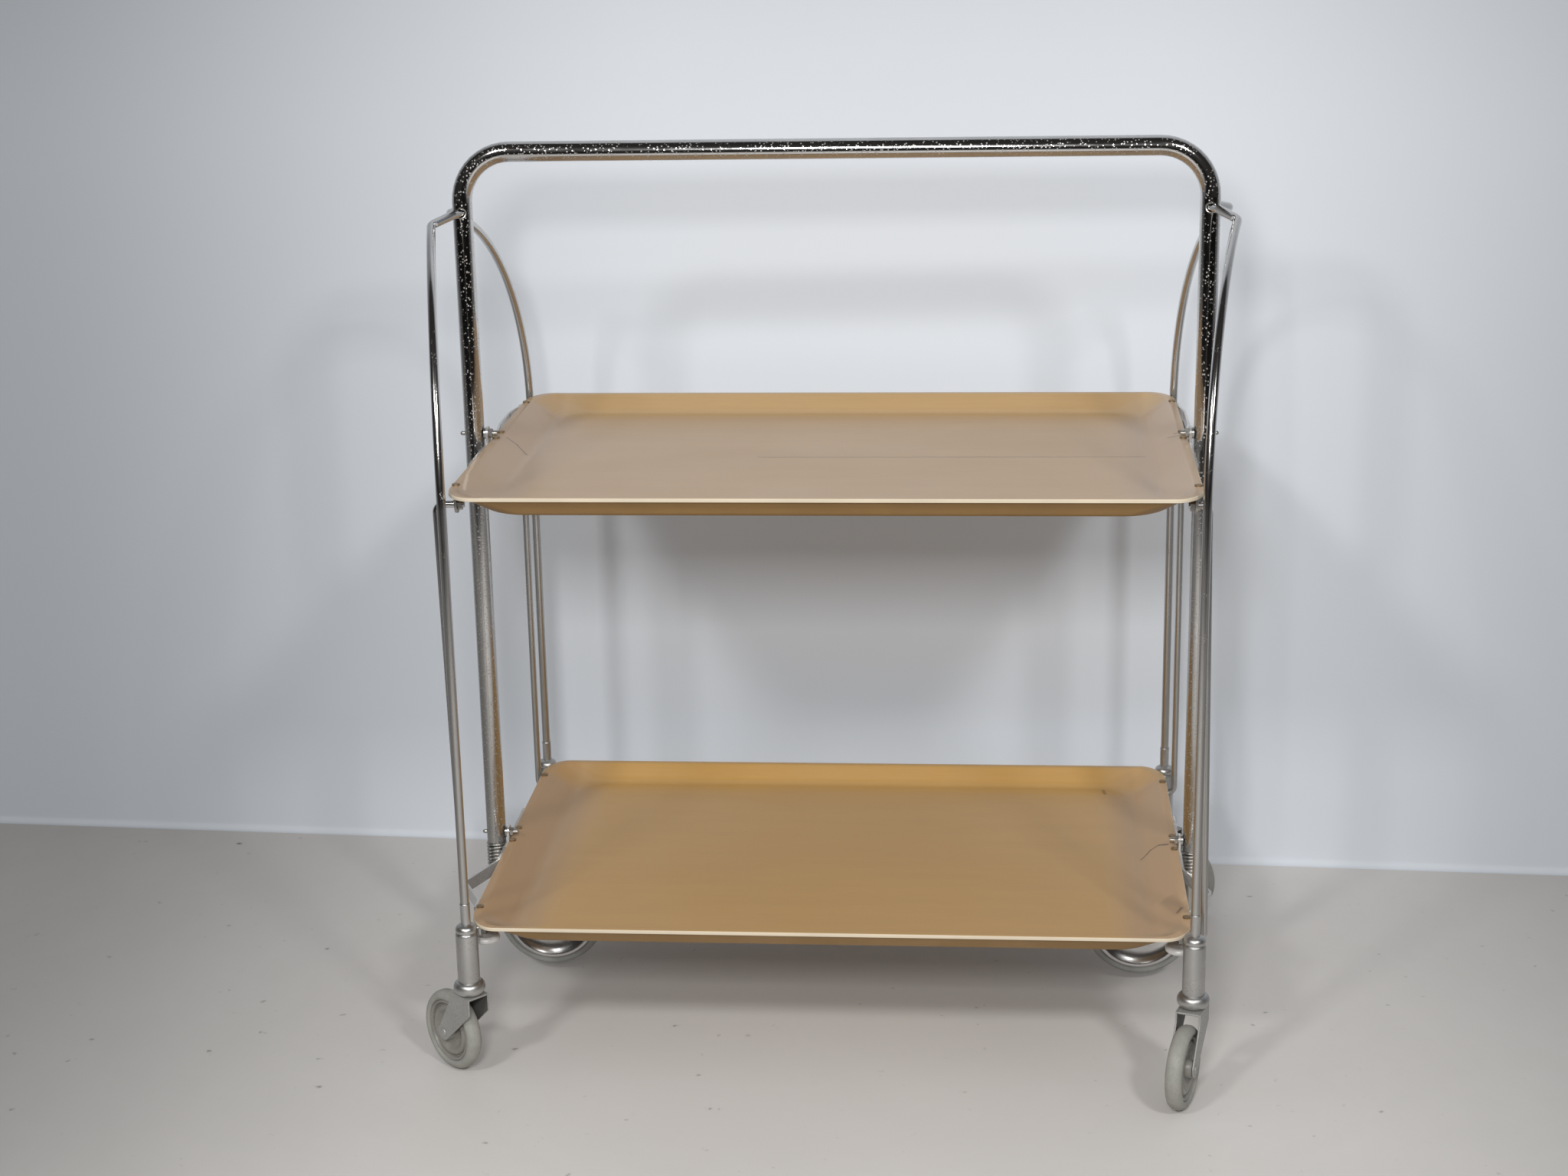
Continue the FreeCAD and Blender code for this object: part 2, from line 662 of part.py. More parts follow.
def build_caster_wheel(corner):
    """Rubber tyre with a rounded tread on a stepped disc with a centre boss."""
    edge = "caster_dia / 2"
    wide = "caster_tread / 2"
    tyre = mirrored_profile([("caster_disc / 2", wide + " - 1.2"), ("caster_disc / 2 + 2", wide),
                             (edge + " - 3", wide), (edge + " - 0.8", wide + " - 1.6"),
                             (edge, wide + " - 4")])
    body = caster_place(lathe(tyre), corner, "caster_trail", edge, ALONG["y"])
    keep(body, "caster_tyre_%s" % corner)
    bore = "axle_dia / 2 + axle_fit"
    rim = "caster_disc / 2"
    disc = mirrored_profile([(bore, "boss_wide / 2"), ("boss_dia / 2 - 1.5", "boss_wide / 2"),
                             ("boss_dia / 2", "disc_thick / 2"), (rim + " - 4.5", "disc_thick / 2"),
                             (rim + " - 3.5", "disc_rim / 2 + 1"), (rim, "disc_rim / 2 + 1")])
    body = caster_place(lathe(disc), corner, "caster_trail", edge, ALONG["y"])
    keep(body, "caster_disc_%s" % corner)


def build_link(corner, sx, sy):
    """Rod between the two trays' corner lugs, cranked inboard at both ends."""
    stand = sy * num("link_stand")
    side_top, side_low = [sx * (num("link_side") + lean) for lean in LEANS[corner]]
    shoulder = sx * num("lug_inner + lug_thick + link_fit")
    top = num("upper_pivot - link_drop")
    low = num("lower_pivot - link_drop")
    corners = [V(shoulder, stand, top), V(side_top, stand, top), V(side_low, stand, low),
               V(shoulder, stand, low)]
    bar = bent_rod(corners, [num("link_bend")] * 2, num("link_dia"))
    reach = num("lug_thick + 2 * link_fit + link_nut_thick + 1.5")
    for height in (top, low):
        pin = Part.makeCylinder(num("link_pin_dia") / 2, reach, V(shoulder, stand, height), V(-sx, 0, 0))
        bar = bar.fuse(pin)
    keep(shaped(bar), "link_rod_%s" % corner)
    nuts = []
    for pivot in ("upper_pivot", "lower_pivot"):
        start, length = along_x(sx, "lug_inner - link_fit - link_nut_thick", "lug_inner - link_fit")
        middle = "%d * link_stand" % sy
        blank = prism("link_nut_flats", length, start, middle, pivot + " - link_drop")
        nuts.append(cut(blank, cylinder("link_pin_dia", length, start, middle, pivot + " - link_drop", "x")))
    keep(group(*nuts), "link_nuts_%s" % corner)


def build_carrier(side, sx):
    """Sprung shaft that slides in the tube's foot and turns inboard to carry a big wheel."""
    x = sx * num("tube_side")
    wheel = sx * num("wheel_side")
    low = num("wheel_height")
    axle_end = num("wheel_back + wheel_wide / 2 + hub_fit + clip_thick + 1")
    corners = [V(x, 0, num("plug_foot + 1")), V(x, 0, low), V(wheel, 0, low), V(wheel, axle_end, low)]
    bends = [num("shaft_bend"), num("shaft_dia / 2 + 1")]
    shaft = shaped(bent_rod(corners, bends, num("shaft_dia")))
    across = "%d * tube_side" % sx
    plug = cylinder("plug_dia", "plug_top - plug_foot", across, 0, "plug_foot")
    seat = cylinder("seat_dia", "seat_thick", across, 0, "seat_top - seat_thick")
    wide = "(bolt_dia + 2 * slot_fit)"
    start = "%s - plug_dia" % across
    slot = box(start, "-%s / 2" % wide, "lower_pivot - slot_travel", "2 * plug_dia", wide, "slot_travel")
    ends = [cylinder(wide, "2 * plug_dia", start, 0, height, "x")
            for height in ("lower_pivot", "lower_pivot - slot_travel")]
    keep(cut(fuse(shaft, plug, seat), fuse(slot, *ends)), "carrier_shaft_%s" % side)


def build_spring(side, sx):
    """Coil spring between the shaft's seat and the tube's end."""
    radius = "(spring_dia - spring_wire) / 2"
    tall = "(tube_bottom - seat_top - spring_wire - 2 * spring_clear)"
    helix = doc.addObject("Part::Helix", "Coil")
    bind(helix, Radius=radius, Height=tall, Pitch=tall + " / spring_turns")
    wire = doc.addObject("Part::Circle", "Wire")
    bind(wire, Radius="spring_wire / 2 * 0.85")
    place(wire, radius, 0, 0, FreeCAD.Rotation(V(1, 0, 0), 90))
    coil = doc.addObject("Part::Sweep", "Spring")
    coil.Sections = [wire]
    coil.Spine = (helix, [])
    coil.Solid = True
    coil.Frenet = True
    place(coil, "%d * tube_side" % sx, 0, "seat_top + spring_wire / 2 + spring_clear")
    keep(coil, "carrier_spring_%s" % side)


def build_big_wheel(side, sx):
    """Dished metal wheel with a rubber tyre, held on the shaft's end by a clip."""
    rim = "(wheel_dia / 2 - tyre_deep)"
    edge = "wheel_dia / 2"
    wide = "wheel_wide / 2"
    bore = "shaft_dia / 2 + hub_fit"
    where = ("%d * wheel_side" % sx, "wheel_back", "wheel_height", ALONG["y"])
    tyre = mirrored_profile([(rim, wide + " - 2"), (edge + " - 4", wide),
                             (edge + " - 1.2", wide + " - 1.6"), (edge, wide + " - 4.5")])
    keep(place(lathe(tyre), *where), "wheel_tyre_%s" % side)
    hub = [(bore, wide), ("hub_boss / 2", wide), ("hub_boss / 2", "hub_web / 2"),
           (rim + " - 10", "hub_web / 2"), (rim + " - hub_wall", wide + " - 1"), (rim, wide + " - 1")]
    keep(place(lathe(mirrored_profile(hub)), *where), "wheel_hub_%s" % side)
    start = "wheel_back + wheel_wide / 2 + hub_fit"
    disc = cylinder("clip_dia", "clip_thick", "%d * wheel_side" % sx, start, "wheel_height", "y")
    hole = cylinder("shaft_dia", "clip_thick", "%d * wheel_side" % sx, start, "wheel_height", "y")
    keep(cut(disc, hole), "wheel_clip_%s" % side)


def check():
    """Stops before any file is written if an object failed or a piece is unsound."""
    doc.recompute()
    for item in doc.Objects:
        if "Invalid" in item.State or "Error" in item.State:
            raise RuntimeError("%s (%s): %s" % (item.Name, item.Label, item.State))
    for item in nodes:
        if item.Shape.isNull() or not item.Shape.isValid() or not item.Shape.Solids:
            raise RuntimeError("unsound piece: %s" % item.Label)


def main():
    build_handle()
    build_pivot_fasteners()
    for tray in ("upper", "lower"):
        build_tray(tray)
        build_straps(tray)
        build_lugs(tray)
        build_rivets(tray)
    for corner, (sx, sy) in CORNERS.items():
        build_leg(corner, sx, sy)
        build_sleeve(corner, sx, sy)
        build_ring(corner, sx, sy)
        build_fork(corner)
        build_caster_axle(corner)
        build_caster_wheel(corner)
        build_link(corner, sx, sy)
    for side, sx in SIDES.items():
        build_carrier(side, sx)
        build_spring(side, sx)
        build_big_wheel(side, sx)
    check()
    os.makedirs("parts", exist_ok=True)
    for item in nodes:
        item.Shape.exportStep("parts/%s.step" % item.Label)
    print("%d pieces" % len(nodes))


main()
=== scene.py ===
import json
import math

import bmesh
import bpy
from mathutils import Matrix, Vector


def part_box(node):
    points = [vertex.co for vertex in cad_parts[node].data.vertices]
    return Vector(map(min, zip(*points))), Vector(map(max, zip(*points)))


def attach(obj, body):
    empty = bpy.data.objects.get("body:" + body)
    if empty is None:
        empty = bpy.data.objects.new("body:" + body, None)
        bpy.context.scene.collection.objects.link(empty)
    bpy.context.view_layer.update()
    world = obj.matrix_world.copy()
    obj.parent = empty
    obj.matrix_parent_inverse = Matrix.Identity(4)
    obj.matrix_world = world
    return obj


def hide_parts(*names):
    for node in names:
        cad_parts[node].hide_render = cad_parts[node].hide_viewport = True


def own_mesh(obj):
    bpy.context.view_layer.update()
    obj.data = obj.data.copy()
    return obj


bl_info = {
    "name": "Folding Tea Trolley",
    "version": (1, 0, 0),
    "blender": (4, 5, 0),
    "location": "View3D > Sidebar > Tea Trolley",
    "description": "Builds a chromed folding tea trolley with two moulded trays",
    "category": "Object",
}

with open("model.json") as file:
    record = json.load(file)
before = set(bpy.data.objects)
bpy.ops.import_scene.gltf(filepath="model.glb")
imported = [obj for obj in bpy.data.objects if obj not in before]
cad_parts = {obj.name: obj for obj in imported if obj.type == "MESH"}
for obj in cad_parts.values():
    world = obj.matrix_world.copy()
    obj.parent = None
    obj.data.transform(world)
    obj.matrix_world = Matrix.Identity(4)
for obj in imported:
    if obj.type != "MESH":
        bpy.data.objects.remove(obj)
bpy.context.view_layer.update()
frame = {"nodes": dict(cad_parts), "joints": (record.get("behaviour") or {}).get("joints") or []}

MM = 0.001
CORNERS = {"front_left": (-1, -1), "front_right": (1, -1), "rear_left": (-1, 1), "rear_right": (1, 1)}
SIDES = {"left": -1, "right": 1}
TRAYS = ("upper", "lower")

# How far each link rod stands outboard of its place at its top and at its foot, in millimetres.
LEANS = {"front_left": (3.5, -1.5), "front_right": (-3.5, 2.0), "rear_left": (-3.5, -3.5), "rear_right": (0, 0)}
# From the middle plane to the handle's upright
TUBE_SIDE = 312.7 * MM
# Inner radius of a solid turned shape, almost on its axis, in millimetres
CORE = 0.2


def limits(node):
    """Low and high corner of a CAD node's box."""
    return [Vector(corner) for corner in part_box(node)]


def middle(node):
    """Centre of a CAD node's box."""
    low, high = limits(node)
    return (low + high) / 2


def span(node, axis):
    """A CAD node's size along one axis."""
    low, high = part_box(node)
    return high[axis] - low[axis]


# Property groups: the sizes and colours a user would change


def number(label, description, default, **more):
    """A number property."""
    return bpy.props.FloatProperty(name=label, description=description, default=default, **more)


def length(label, description, default):
    """A length property in metres."""
    return number(label, description, default, subtype="DISTANCE", unit="LENGTH", precision=5)


def turn(label, description, degrees):
    """An angle property, given in degrees."""
    return number(label, description, math.radians(degrees), subtype="ANGLE")


def tint(label, description, default):
    """A linear colour property."""
    return bpy.props.FloatVectorProperty(
        name=label, description=description, default=default, subtype="COLOR", size=3, min=0.0, max=1.0
    )


class TrolleySizes(bpy.types.PropertyGroup):
    """Sizes of the dressed pieces; a tray's length and depth are read from the frame."""

    tray_length: length("Tray length", "Tray, outside, along X", span("upper_tray", 0))
    tray_depth: length("Tray depth", "Tray, outside, along Y", span("upper_tray", 1))
    corner_x: length("Tray corner along X", "How far a tray's rounded corner runs along X", 23 * MM)
    corner_y: length("Tray corner along Y", "How far a tray's rounded corner runs along Y", 36 * MM)
    board: length("Board", "Thickness of the laminate board", 3.2 * MM)
    end_lip: length("End lip", "Flat lip at a tray's ends", 7 * MM)
    side_lip: length("Side lip", "Flat lip along a tray's long sides", 6 * MM)
    end_slope: length("End slope", "Plan width of the slope at a tray's ends", 25 * MM)
    side_slope: length("Side slope", "Plan width of the slope along a tray's long sides", 11.8 * MM)
    dish_corner: length("Dish corner", "Corner radius of the tray's floor in plan", 30 * MM)
    dish_depth: length("Dish depth", "From the lip down to the tray's floor", 15.6 * MM)
    leg_rod: length("Leg diameter", "Bar that the legs are bent from", 7.4 * MM)
    link_rod: length("Link diameter", "Bar that the links are bent from", 6 * MM)
    link_side: length("Link place", "From the middle plane to a link's straight run", 308 * MM)
    rod_tip: length("Rod tip diameter", "Turned-down end of a bar", 5 * MM)
    elbow_bend: length("Elbow bend", "Tight bend near the handle", 12 * MM)
    elbow_run: length("Elbow run", "Straight bar below the elbow", 14 * MM)
    elbow_drop: length("Elbow drop", "How far the elbow lies below the hook", 5.5 * MM)
    leg_turn: length("Leg turn height", "Height where the leg's straight runs would meet", 652 * MM)
    link_bend: length("Link bend", "Bend at each end of a link rod", 7 * MM)
    shaft: length("Shaft diameter", "Sprung shaft of a big wheel", 9 * MM)
    shaft_bend: length("Shaft bend", "Bend at the foot of the sprung shaft", 14 * MM)
    spring_wire: length("Spring wire", "Wire diameter of the coil springs", 2 * MM)
    spring_turns: number("Spring turns", "Turns of each coil spring", 7.0)
    trail: length("Caster trail", "From the swivel axis to the axle", 27.7 * MM)
    fork_plate: length("Fork plate", "Sheet thickness of a caster fork", 1.6 * MM)
    tube: length("Tube diameter", "Tube that the handle is bent from", 17 * MM)
    tube_side: length("Tube place", "From the middle plane to the handle's upright", TUBE_SIDE)
    upper_pivot: length("Upper pivot height", "Height of the upper tray's pivots", 513.3 * MM)
    lower_pivot: length("Lower pivot height", "Height of the lower tray's pivots", 143.4 * MM)
    pin_shank: length("Pin diameter", "Pivot pin inside the tube and the lug", 5 * MM)
    pin_end: length("Pin end diameter", "Domed end of a pivot pin", 3.8 * MM)
    pin_start: length("Pin start", "From the middle plane to a pivot pin's inner end", 293 * MM)
    pin_stand: length("Pin stand", "How far a pivot pin stands out of the tube", 3.9 * MM)
    hook_height: length("Hook height", "Height of the hook holes in the handle", 704.5 * MM)
    eyelet: length("Eyelet diameter", "Rolled rim of a hook hole", 8.2 * MM)
    eyelet_bead: length("Eyelet bead", "Thickness of that rim", 1.5 * MM)


class TrolleyFinish(bpy.types.PropertyGroup):
    """Colours of the trolley's finishes."""

    upper_face: tint("Upper tray", "Laminate of the upper tray", (0.46, 0.310, 0.175))
    lower_face: tint("Lower tray", "Laminate of the lower tray", (0.50, 0.300, 0.106))
    upper_slope: tint("Upper slopes", "Pinker laminate near the upper tray's ends", (0.424, 0.305, 0.213))
    lower_slope: tint("Lower slopes", "Pinker laminate near the lower tray's ends", (0.440, 0.298, 0.186))
    board_edge: tint("Board edge", "Pale edge of the laminate board", (0.700, 0.600, 0.450))
    underside: tint("Underside", "Brown back of the trays", (0.350, 0.205, 0.074))
    chrome: tint("Chrome", "Polished plating", (0.66, 0.65, 0.64))
    worn_chrome: tint("Worn chrome", "Dulled plating low on the trolley", (0.50, 0.49, 0.47))
    steel: tint("Steel", "Zinc and bare steel parts", (0.52, 0.51, 0.48))
    sleeve: tint("Sleeve", "Dull plating of the leg sleeves", (0.57, 0.565, 0.55))
    bracket: tint("Bracket", "Pale steel of the lower tray's brackets", (0.74, 0.73, 0.71))
    old_steel: tint("Old steel", "Worn pressed steel of the forks", (0.44, 0.435, 0.41))
    oxide: tint("Oxide", "Pale bloom in the plating's pits", (0.40, 0.38, 0.35))
    rust: tint("Rust", "Rust in pits and crevices", (0.16, 0.07, 0.03))
    rubber: tint("Rubber", "Grey tyre rubber", (0.295, 0.290, 0.258))
    pale_rubber: tint("Pale rubber", "Tyres of the big wheels", (0.34, 0.345, 0.325))
    plastic: tint("Plastic", "Grey wheel discs", (0.245, 0.232, 0.205))
    rivet: tint("Rivet", "Brown rivets in the tray lips", (0.40, 0.30, 0.19))


class TrolleyStudio(bpy.types.PropertyGroup):
    """Camera, floor and light."""

    camera_at: bpy.props.FloatVectorProperty(
        name="Camera", description="Place of the camera", default=(0.13664, -2.1003, 0.9906),
        subtype="TRANSLATION"
    )
    lens: number("Lens", "Focal length on a 36 mm sensor", 57.75)
    yaw: turn("Yaw", "Turn of the view towards +X", -4.981)
    pitch: turn("Pitch", "Tilt of the view below level", 16.284)
    roll: turn("Roll", "Turn of the picture about the view", -1.134)
    wall_at: length("Wall", "Distance of the backdrop behind the trolley", 0.318)
    wall_turn: turn("Wall turn", "Turn of the backdrop seen from above", -3.0)
    cove: length("Cove", "Radius between floor and backdrop", 0.007)
    floor_tint: tint("Floor", "Pale floor", (0.69, 0.66, 0.63))
    wall_tint: tint("Wall", "Pale backdrop", (0.715, 0.75, 0.795))


def sizes():
    return bpy.context.scene.trolley_sizes


def finish():
    return bpy.context.scene.trolley_finish


def studio():
    return bpy.context.scene.trolley_studio


# Shapes


def bent_path(corners, bends, steps=10):
    """Points along straight runs joined by tangent arcs."""
    points = [corners[0]]
    for before, corner, after, bend in zip(corners, corners[1:], corners[2:], bends):
        back = (before - corner).normalized()
        ahead = (after - corner).normalized()
        half = back.angle(ahead) / 2
        centre = corner + (back + ahead).normalized() * (bend / math.sin(half))
        enter = corner + back * (bend / math.tan(half)) - centre
        leave = corner + ahead * (bend / math.tan(half)) - centre
        swing = enter.angle(leave)
        for i in range(steps + 1):
            share = i / steps
            spot = enter * math.sin((1 - share) * swing) + leave * math.sin(share * swing)
            points.append(centre + spot / math.sin(swing))
    points.append(corners[-1])
    return points


def smooth_profile(profile, bends, steps):
    """Radius and height pairs with their inner corners rounded."""
    path = bent_path([Vector((radius, 0, height)) for radius, height in profile], bends, steps)
    return [(spot.x, spot.z) for spot in path]


def in_mm(profile):
    """Pairs given in millimetres, as metres."""
    return [(radius * MM, height * MM) for radius, height in profile]


def mirrored(half):
    """A lathe outline from its upper half."""
    return half + [(radius, -height) for radius, height in reversed(half)]


def circle(count):
    """Cosine and sine of evenly spaced angles."""
    angles = [2 * math.pi * k / count for k in range(count)]
    return [(math.cos(angle), math.sin(angle)) for angle in angles]


def arc(x, y, wide, tall, start, stop, steps):
    """Points of a round or oval arc about (x, y), between two angles in degrees."""
    angles = [math.radians(start + (stop - start) * i / steps) for i in range(steps + 1)]
    return [(x + wide * math.cos(angle), y + tall * math.sin(angle)) for angle in angles]


def oblong(low, high):
    """Outline of an oblong between two of its corners."""
    return [low, (high[0], low[1]), high, (low[0], high[1])]


def upright(spot):
    """A place whose Z axis stands upright on the spot."""
    return Matrix.Translation(spot)


def turned_to(spot, x, y, z):
    """A place at the spot with its axes along three directions."""
    return Matrix.Translation(spot) @ Matrix((x, y, z)).transposed().to_4x4()


def skin(mesh, low, high, index=0):
    """Quads between two closed rings of vertices."""
    for k in range(len(low)):
        after = (k + 1) % len(low)
        mesh.faces.new((low[k], low[after], high[after], high[k])).material_index = index


def cap(mesh, low, high):
    """Closes the first and the last ring."""
    mesh.faces.new(list(reversed(low)))
    mesh.faces.new(high)


def add_tube(mesh, path, radii, ring=20):
    """Sweeps a circle along the path and caps both ends."""
    if not isinstance(radii, list):
        radii = [radii] * len(path)
    ahead = (path[1] - path[0]).normalized()
    aside = ahead.orthogonal().normalized()
    rows = []
    for i, at in enumerate(path):
        turned = (path[min(i + 1, len(path) - 1)] - path[max(i - 1, 0)]).normalized()
        aside = (ahead.rotation_difference(turned) @ aside).normalized()
        ahead = turned
        other = ahead.cross(aside)
        spokes = [aside * cos + other * sin for cos, sin in circle(ring)]
        rows.append([mesh.verts.new(at + spoke * radii[i]) for spoke in spokes])
    for low, high in zip(rows, rows[1:]):
        skin(mesh, low, high)
    cap(mesh, rows[0], rows[-1])


def add_lathe(mesh, profile, place, segments, closed=True):
    """Turns radius and height pairs about the place's Z axis."""
    rings = []
    for radius, height in profile:
        spots = [Vector((radius * cos, radius * sin, height)) for cos, sin in circle(segments)]
        rings.append([mesh.verts.new(place @ spot) for spot in spots])
    for low, high in zip(rings, rings[1:]):
        skin(mesh, high, low)
    if closed:
        skin(mesh, rings[0], rings[-1])
    else:
        cap(mesh, rings[-1], rings[0])


def add_plate(mesh, outline, thick, place):
    """A flat plate of the outline, in the place's XY plane, centred on it."""
    low, high = [[mesh.verts.new(place @ Vector((x, y, z))) for x, y in outline]
                 for z in (-thick / 2, thick / 2)]
    skin(mesh, low, high)
    cap(mesh, low, high)


def piece(name, mesh, body, nodes, looks, crease=35.0, bevel=0.0):
    """Turns the built mesh into a piece that rides a body and stands for CAD nodes."""
    bmesh.ops.recalc_face_normals(mesh, faces=mesh.faces)
    data = bpy.data.meshes.new(name)
    mesh.to_mesh(data)
    mesh.free()
    for look in looks:
        data.materials.append(material(look))
    data.shade_smooth()
    data.set_sharp_from_angle(angle=math.radians(crease))
    item = bpy.data.objects.new(name, data)
    bpy.context.scene.collection.objects.link(item)
    if bevel:
        rounding = item.modifiers.new("Rounding", "BEVEL")
        rounding.width = bevel
        rounding.segments = 3
        rounding.limit_method = "ANGLE"
        rounding.angle_limit = math.radians(crease)
        rounding.harden_normals = True
    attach(item, body)
    if nodes:
        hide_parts(*nodes)
    return item


def lathe_piece(name, profile, place, segments, body, node, look, crease=60.0, closed=True):
    """A piece that is one turned solid."""
    mesh = bmesh.new()
    add_lathe(mesh, profile, place, segments, closed)
    piece(name, mesh, body, [node], [look], crease)


def paint(node, look, crease=30.0):
    """Gives a CAD node a material and soft shading on its round faces."""
    data = frame["nodes"][node].data
    data.materials.clear()
    data.materials.append(material(look))
    data.shade_smooth()
    data.set_sharp_from_angle(angle=math.radians(crease))


# Shader nodes and shared node groups


def feed(tree, socket, value):
    """Links a socket to the value, or sets it where the value is a number or colour."""
    if isinstance(value, bpy.types.NodeSocket):
        tree.links.new(value, socket)
    else:
        socket.default_value = value


def add_node(tree, kind, inputs=(), **settings):
    """A shader node with its settings, its inputs fed by name or place."""
    made = tree.nodes.new("ShaderNode" + kind)
    for key, value in settings.items():
        setattr(made, key, value)
    for key, value in dict(inputs).items():
        feed(tree, made.inputs[key], value)
    return made


def calc(tree, operation, *values, clamp=False):
    """A Math node's result."""
    return add_node(tree, "Math", enumerate(values), operation=operation, use_clamp=clamp).outputs[0]


def times(tree, first, second):
    return calc(tree, "MULTIPLY", first, second)


def inverse(tree, value):
    return calc(tree, "SUBTRACT", 1.0, value)


def scaled(tree, value, low, high):
    """The 0 to 1 value stretched from low to high."""
    return calc(tree, "ADD", times(tree, value, high - low), low)


def ramp(tree, value, low, high):
    """Maps the value smoothly from the range between low and high onto 0 to 1."""
    inputs = {"Value": value, "From Min": low, "From Max": high}
    return add_node(tree, "MapRange", inputs, interpolation_type="SMOOTHSTEP").outputs["Result"]


def surface_point(tree):
    """The point on the piece, in the trolley's own frame."""
    return add_node(tree, "TexCoord").outputs["Object"]


def coordinate(tree, axis):
    """One coordinate of the surface point."""
    return add_node(tree, "SeparateXYZ", {0: surface_point(tree)}).outputs[axis]


def stretched(tree, vector, scale):
    return add_node(tree, "Mapping", {"Vector": vector, "Scale": scale}).outputs["Vector"]


def noise_value(tree, vector, scale, detail, rough):
    inputs = {"Vector": vector, "Scale": scale, "Detail": detail, "Roughness": rough}
    return add_node(tree, "TexNoise", inputs).outputs["Fac"]


def group(name, inputs, output):
    """A new node group: its tree, its input sockets by name and its one output socket."""
    tree = bpy.data.node_groups.new(name, "ShaderNodeTree")
    for label, default in inputs.items():
        kind = "NodeSocketVector" if isinstance(default, tuple) else "NodeSocketFloat"
        tree.interface.new_socket(label, in_out="INPUT", socket_type=kind).default_value = default
    tree.interface.new_socket(output, in_out="OUTPUT", socket_type="NodeSocketFloat")
    return tree, tree.nodes.new("NodeGroupInput").outputs, tree.nodes.new("NodeGroupOutput").inputs[output]


def make_pitting():
    """Small pits that gather in patches: a mask of them."""
    pit_full, pit_end, patch_edge, cover_pull, patch_soft = 0.10, 0.34, 0.78, 0.5, 0.12
    tree, given, out = group("Pitting", {"Scale": 900.0, "Cover": 0.4}, "Mask")
    at = surface_point(tree)
    cells = add_node(tree, "TexVoronoi", {"Vector": at, "Scale": given["Scale"]})
    spot = inverse(tree, ramp(tree, cells.outputs["Distance"], pit_full, pit_end))
    edge = calc(tree, "SUBTRACT", patch_edge, times(tree, given["Cover"], cover_pull))
    cloud = noise_value(tree, at, 60.0, detail=4.0, rough=0.6)
    patch = ramp(tree, cloud, edge, calc(tree, "ADD", edge, patch_soft))
    feed(tree, out, times(tree, spot, patch))
    return tree


def make_soiling():
    """Broad uneven patches of dulling or dust: a value about 0 to 1."""
    tree, given, out = group("Soiling", {"Scale": 12.0, "Contrast": 0.25}, "Value")
    half = 0.5
    cloud = noise_value(tree, surface_point(tree), given["Scale"], detail=5.0, rough=0.6)
    low = calc(tree, "SUBTRACT", half, given["Contrast"])
    high = calc(tree, "ADD", half, given["Contrast"])
    feed(tree, out, ramp(tree, cloud, low, high))
    return tree


def make_grain():
    """Fine streaks along X, as printed on moulded laminate."""
    tree, given, out = group("Laminate grain", {"Scale": 60.0}, "Value")
    at = surface_point(tree)
    fine = noise_value(tree, stretched(tree, at, (0.5, 14.0, 8.0)), given["Scale"], detail=3.0, rough=0.6)
    broad = noise_value(tree, stretched(tree, at, (1.2, 9.0, 5.0)), 5.0, detail=3.0, rough=0.5)
    feed(tree, out, times(tree, calc(tree, "ADD", fine, broad), 0.5))
    return tree


def make_hairline():
    """A crack or scratch between two points seen in plan, wavering a little: a mask of it."""
    inputs = {"From": (0.0, 0.0, 0.0), "To": (0.1, 0.0, 0.0), "Width": 0.0005, "Waver": 0.002}
    tree, given, out = group("Hairline", inputs, "Mask")
    full_share = 0.35

    def vector(operation, *values, **named):
        made = add_node(tree, "VectorMath", {**dict(enumerate(values)), **named}, operation=operation)
        return made.outputs["Value" if operation in ("DOT_PRODUCT", "LENGTH") else "Vector"]

    at = stretched(tree, surface_point(tree), (1, 1, 0))
    wobble = add_node(tree, "TexNoise", {"Vector": at, "Scale": 55.0}).outputs["Color"]
    centred = vector("SUBTRACT", wobble, (0.5, 0.5, 0.5))
    moved = vector("ADD", at, vector("SCALE", centred, Scale=given["Waver"]))
    run = vector("SUBTRACT", given["To"], given["From"])
    off = vector("SUBTRACT", moved, given["From"])
    square = vector("DOT_PRODUCT", run, run)
    share = calc(tree, "DIVIDE", vector("DOT_PRODUCT", off, run), square, clamp=True)
    gap = vector("LENGTH", vector("SUBTRACT", off, vector("SCALE", run, Scale=share)))
    feed(tree, out, inverse(tree, ramp(tree, gap, times(tree, given["Width"], full_share), given["Width"])))
    return tree


MAKERS = {
    "Pitting": make_pitting,
    "Soiling": make_soiling,
    "Laminate grain": make_grain,
    "Hairline": make_hairline,
}
GROUPS = {}


def effect(tree, name, **values):
    """Places one of the shared effects in a material and returns its output."""
    if name not in GROUPS:
        GROUPS[name] = MAKERS[name]()
    made = tree.nodes.new("ShaderNodeGroup")
    made.node_tree = GROUPS[name]
    for label, value in values.items():
        made.inputs[label].default_value = value
    return made.outputs[0]


# Materials


def blank(name):
    """A material with a Principled shader, its tree and that shader."""
    made = bpy.data.materials.new(name)
    made.use_nodes = True
    tree = made.node_tree
    tree.nodes.clear()
    shader = add_node(tree, "BsdfPrincipled")
    add_node(tree, "OutputMaterial", {"Surface": shader.outputs["BSDF"]})
    return made, tree, shader


def surfaced(tree, shader, base, rough, height, strength, distance):
    """Feeds the shader its colour, roughness and bump."""
    inputs = {"Strength": strength, "Distance": distance, "Height": height}
    bump = add_node(tree, "Bump", inputs).outputs["Normal"]
    for label, value in (("Base Color", base), ("Roughness", rough), ("Normal", bump)):
        feed(tree, shader.inputs[label], value)


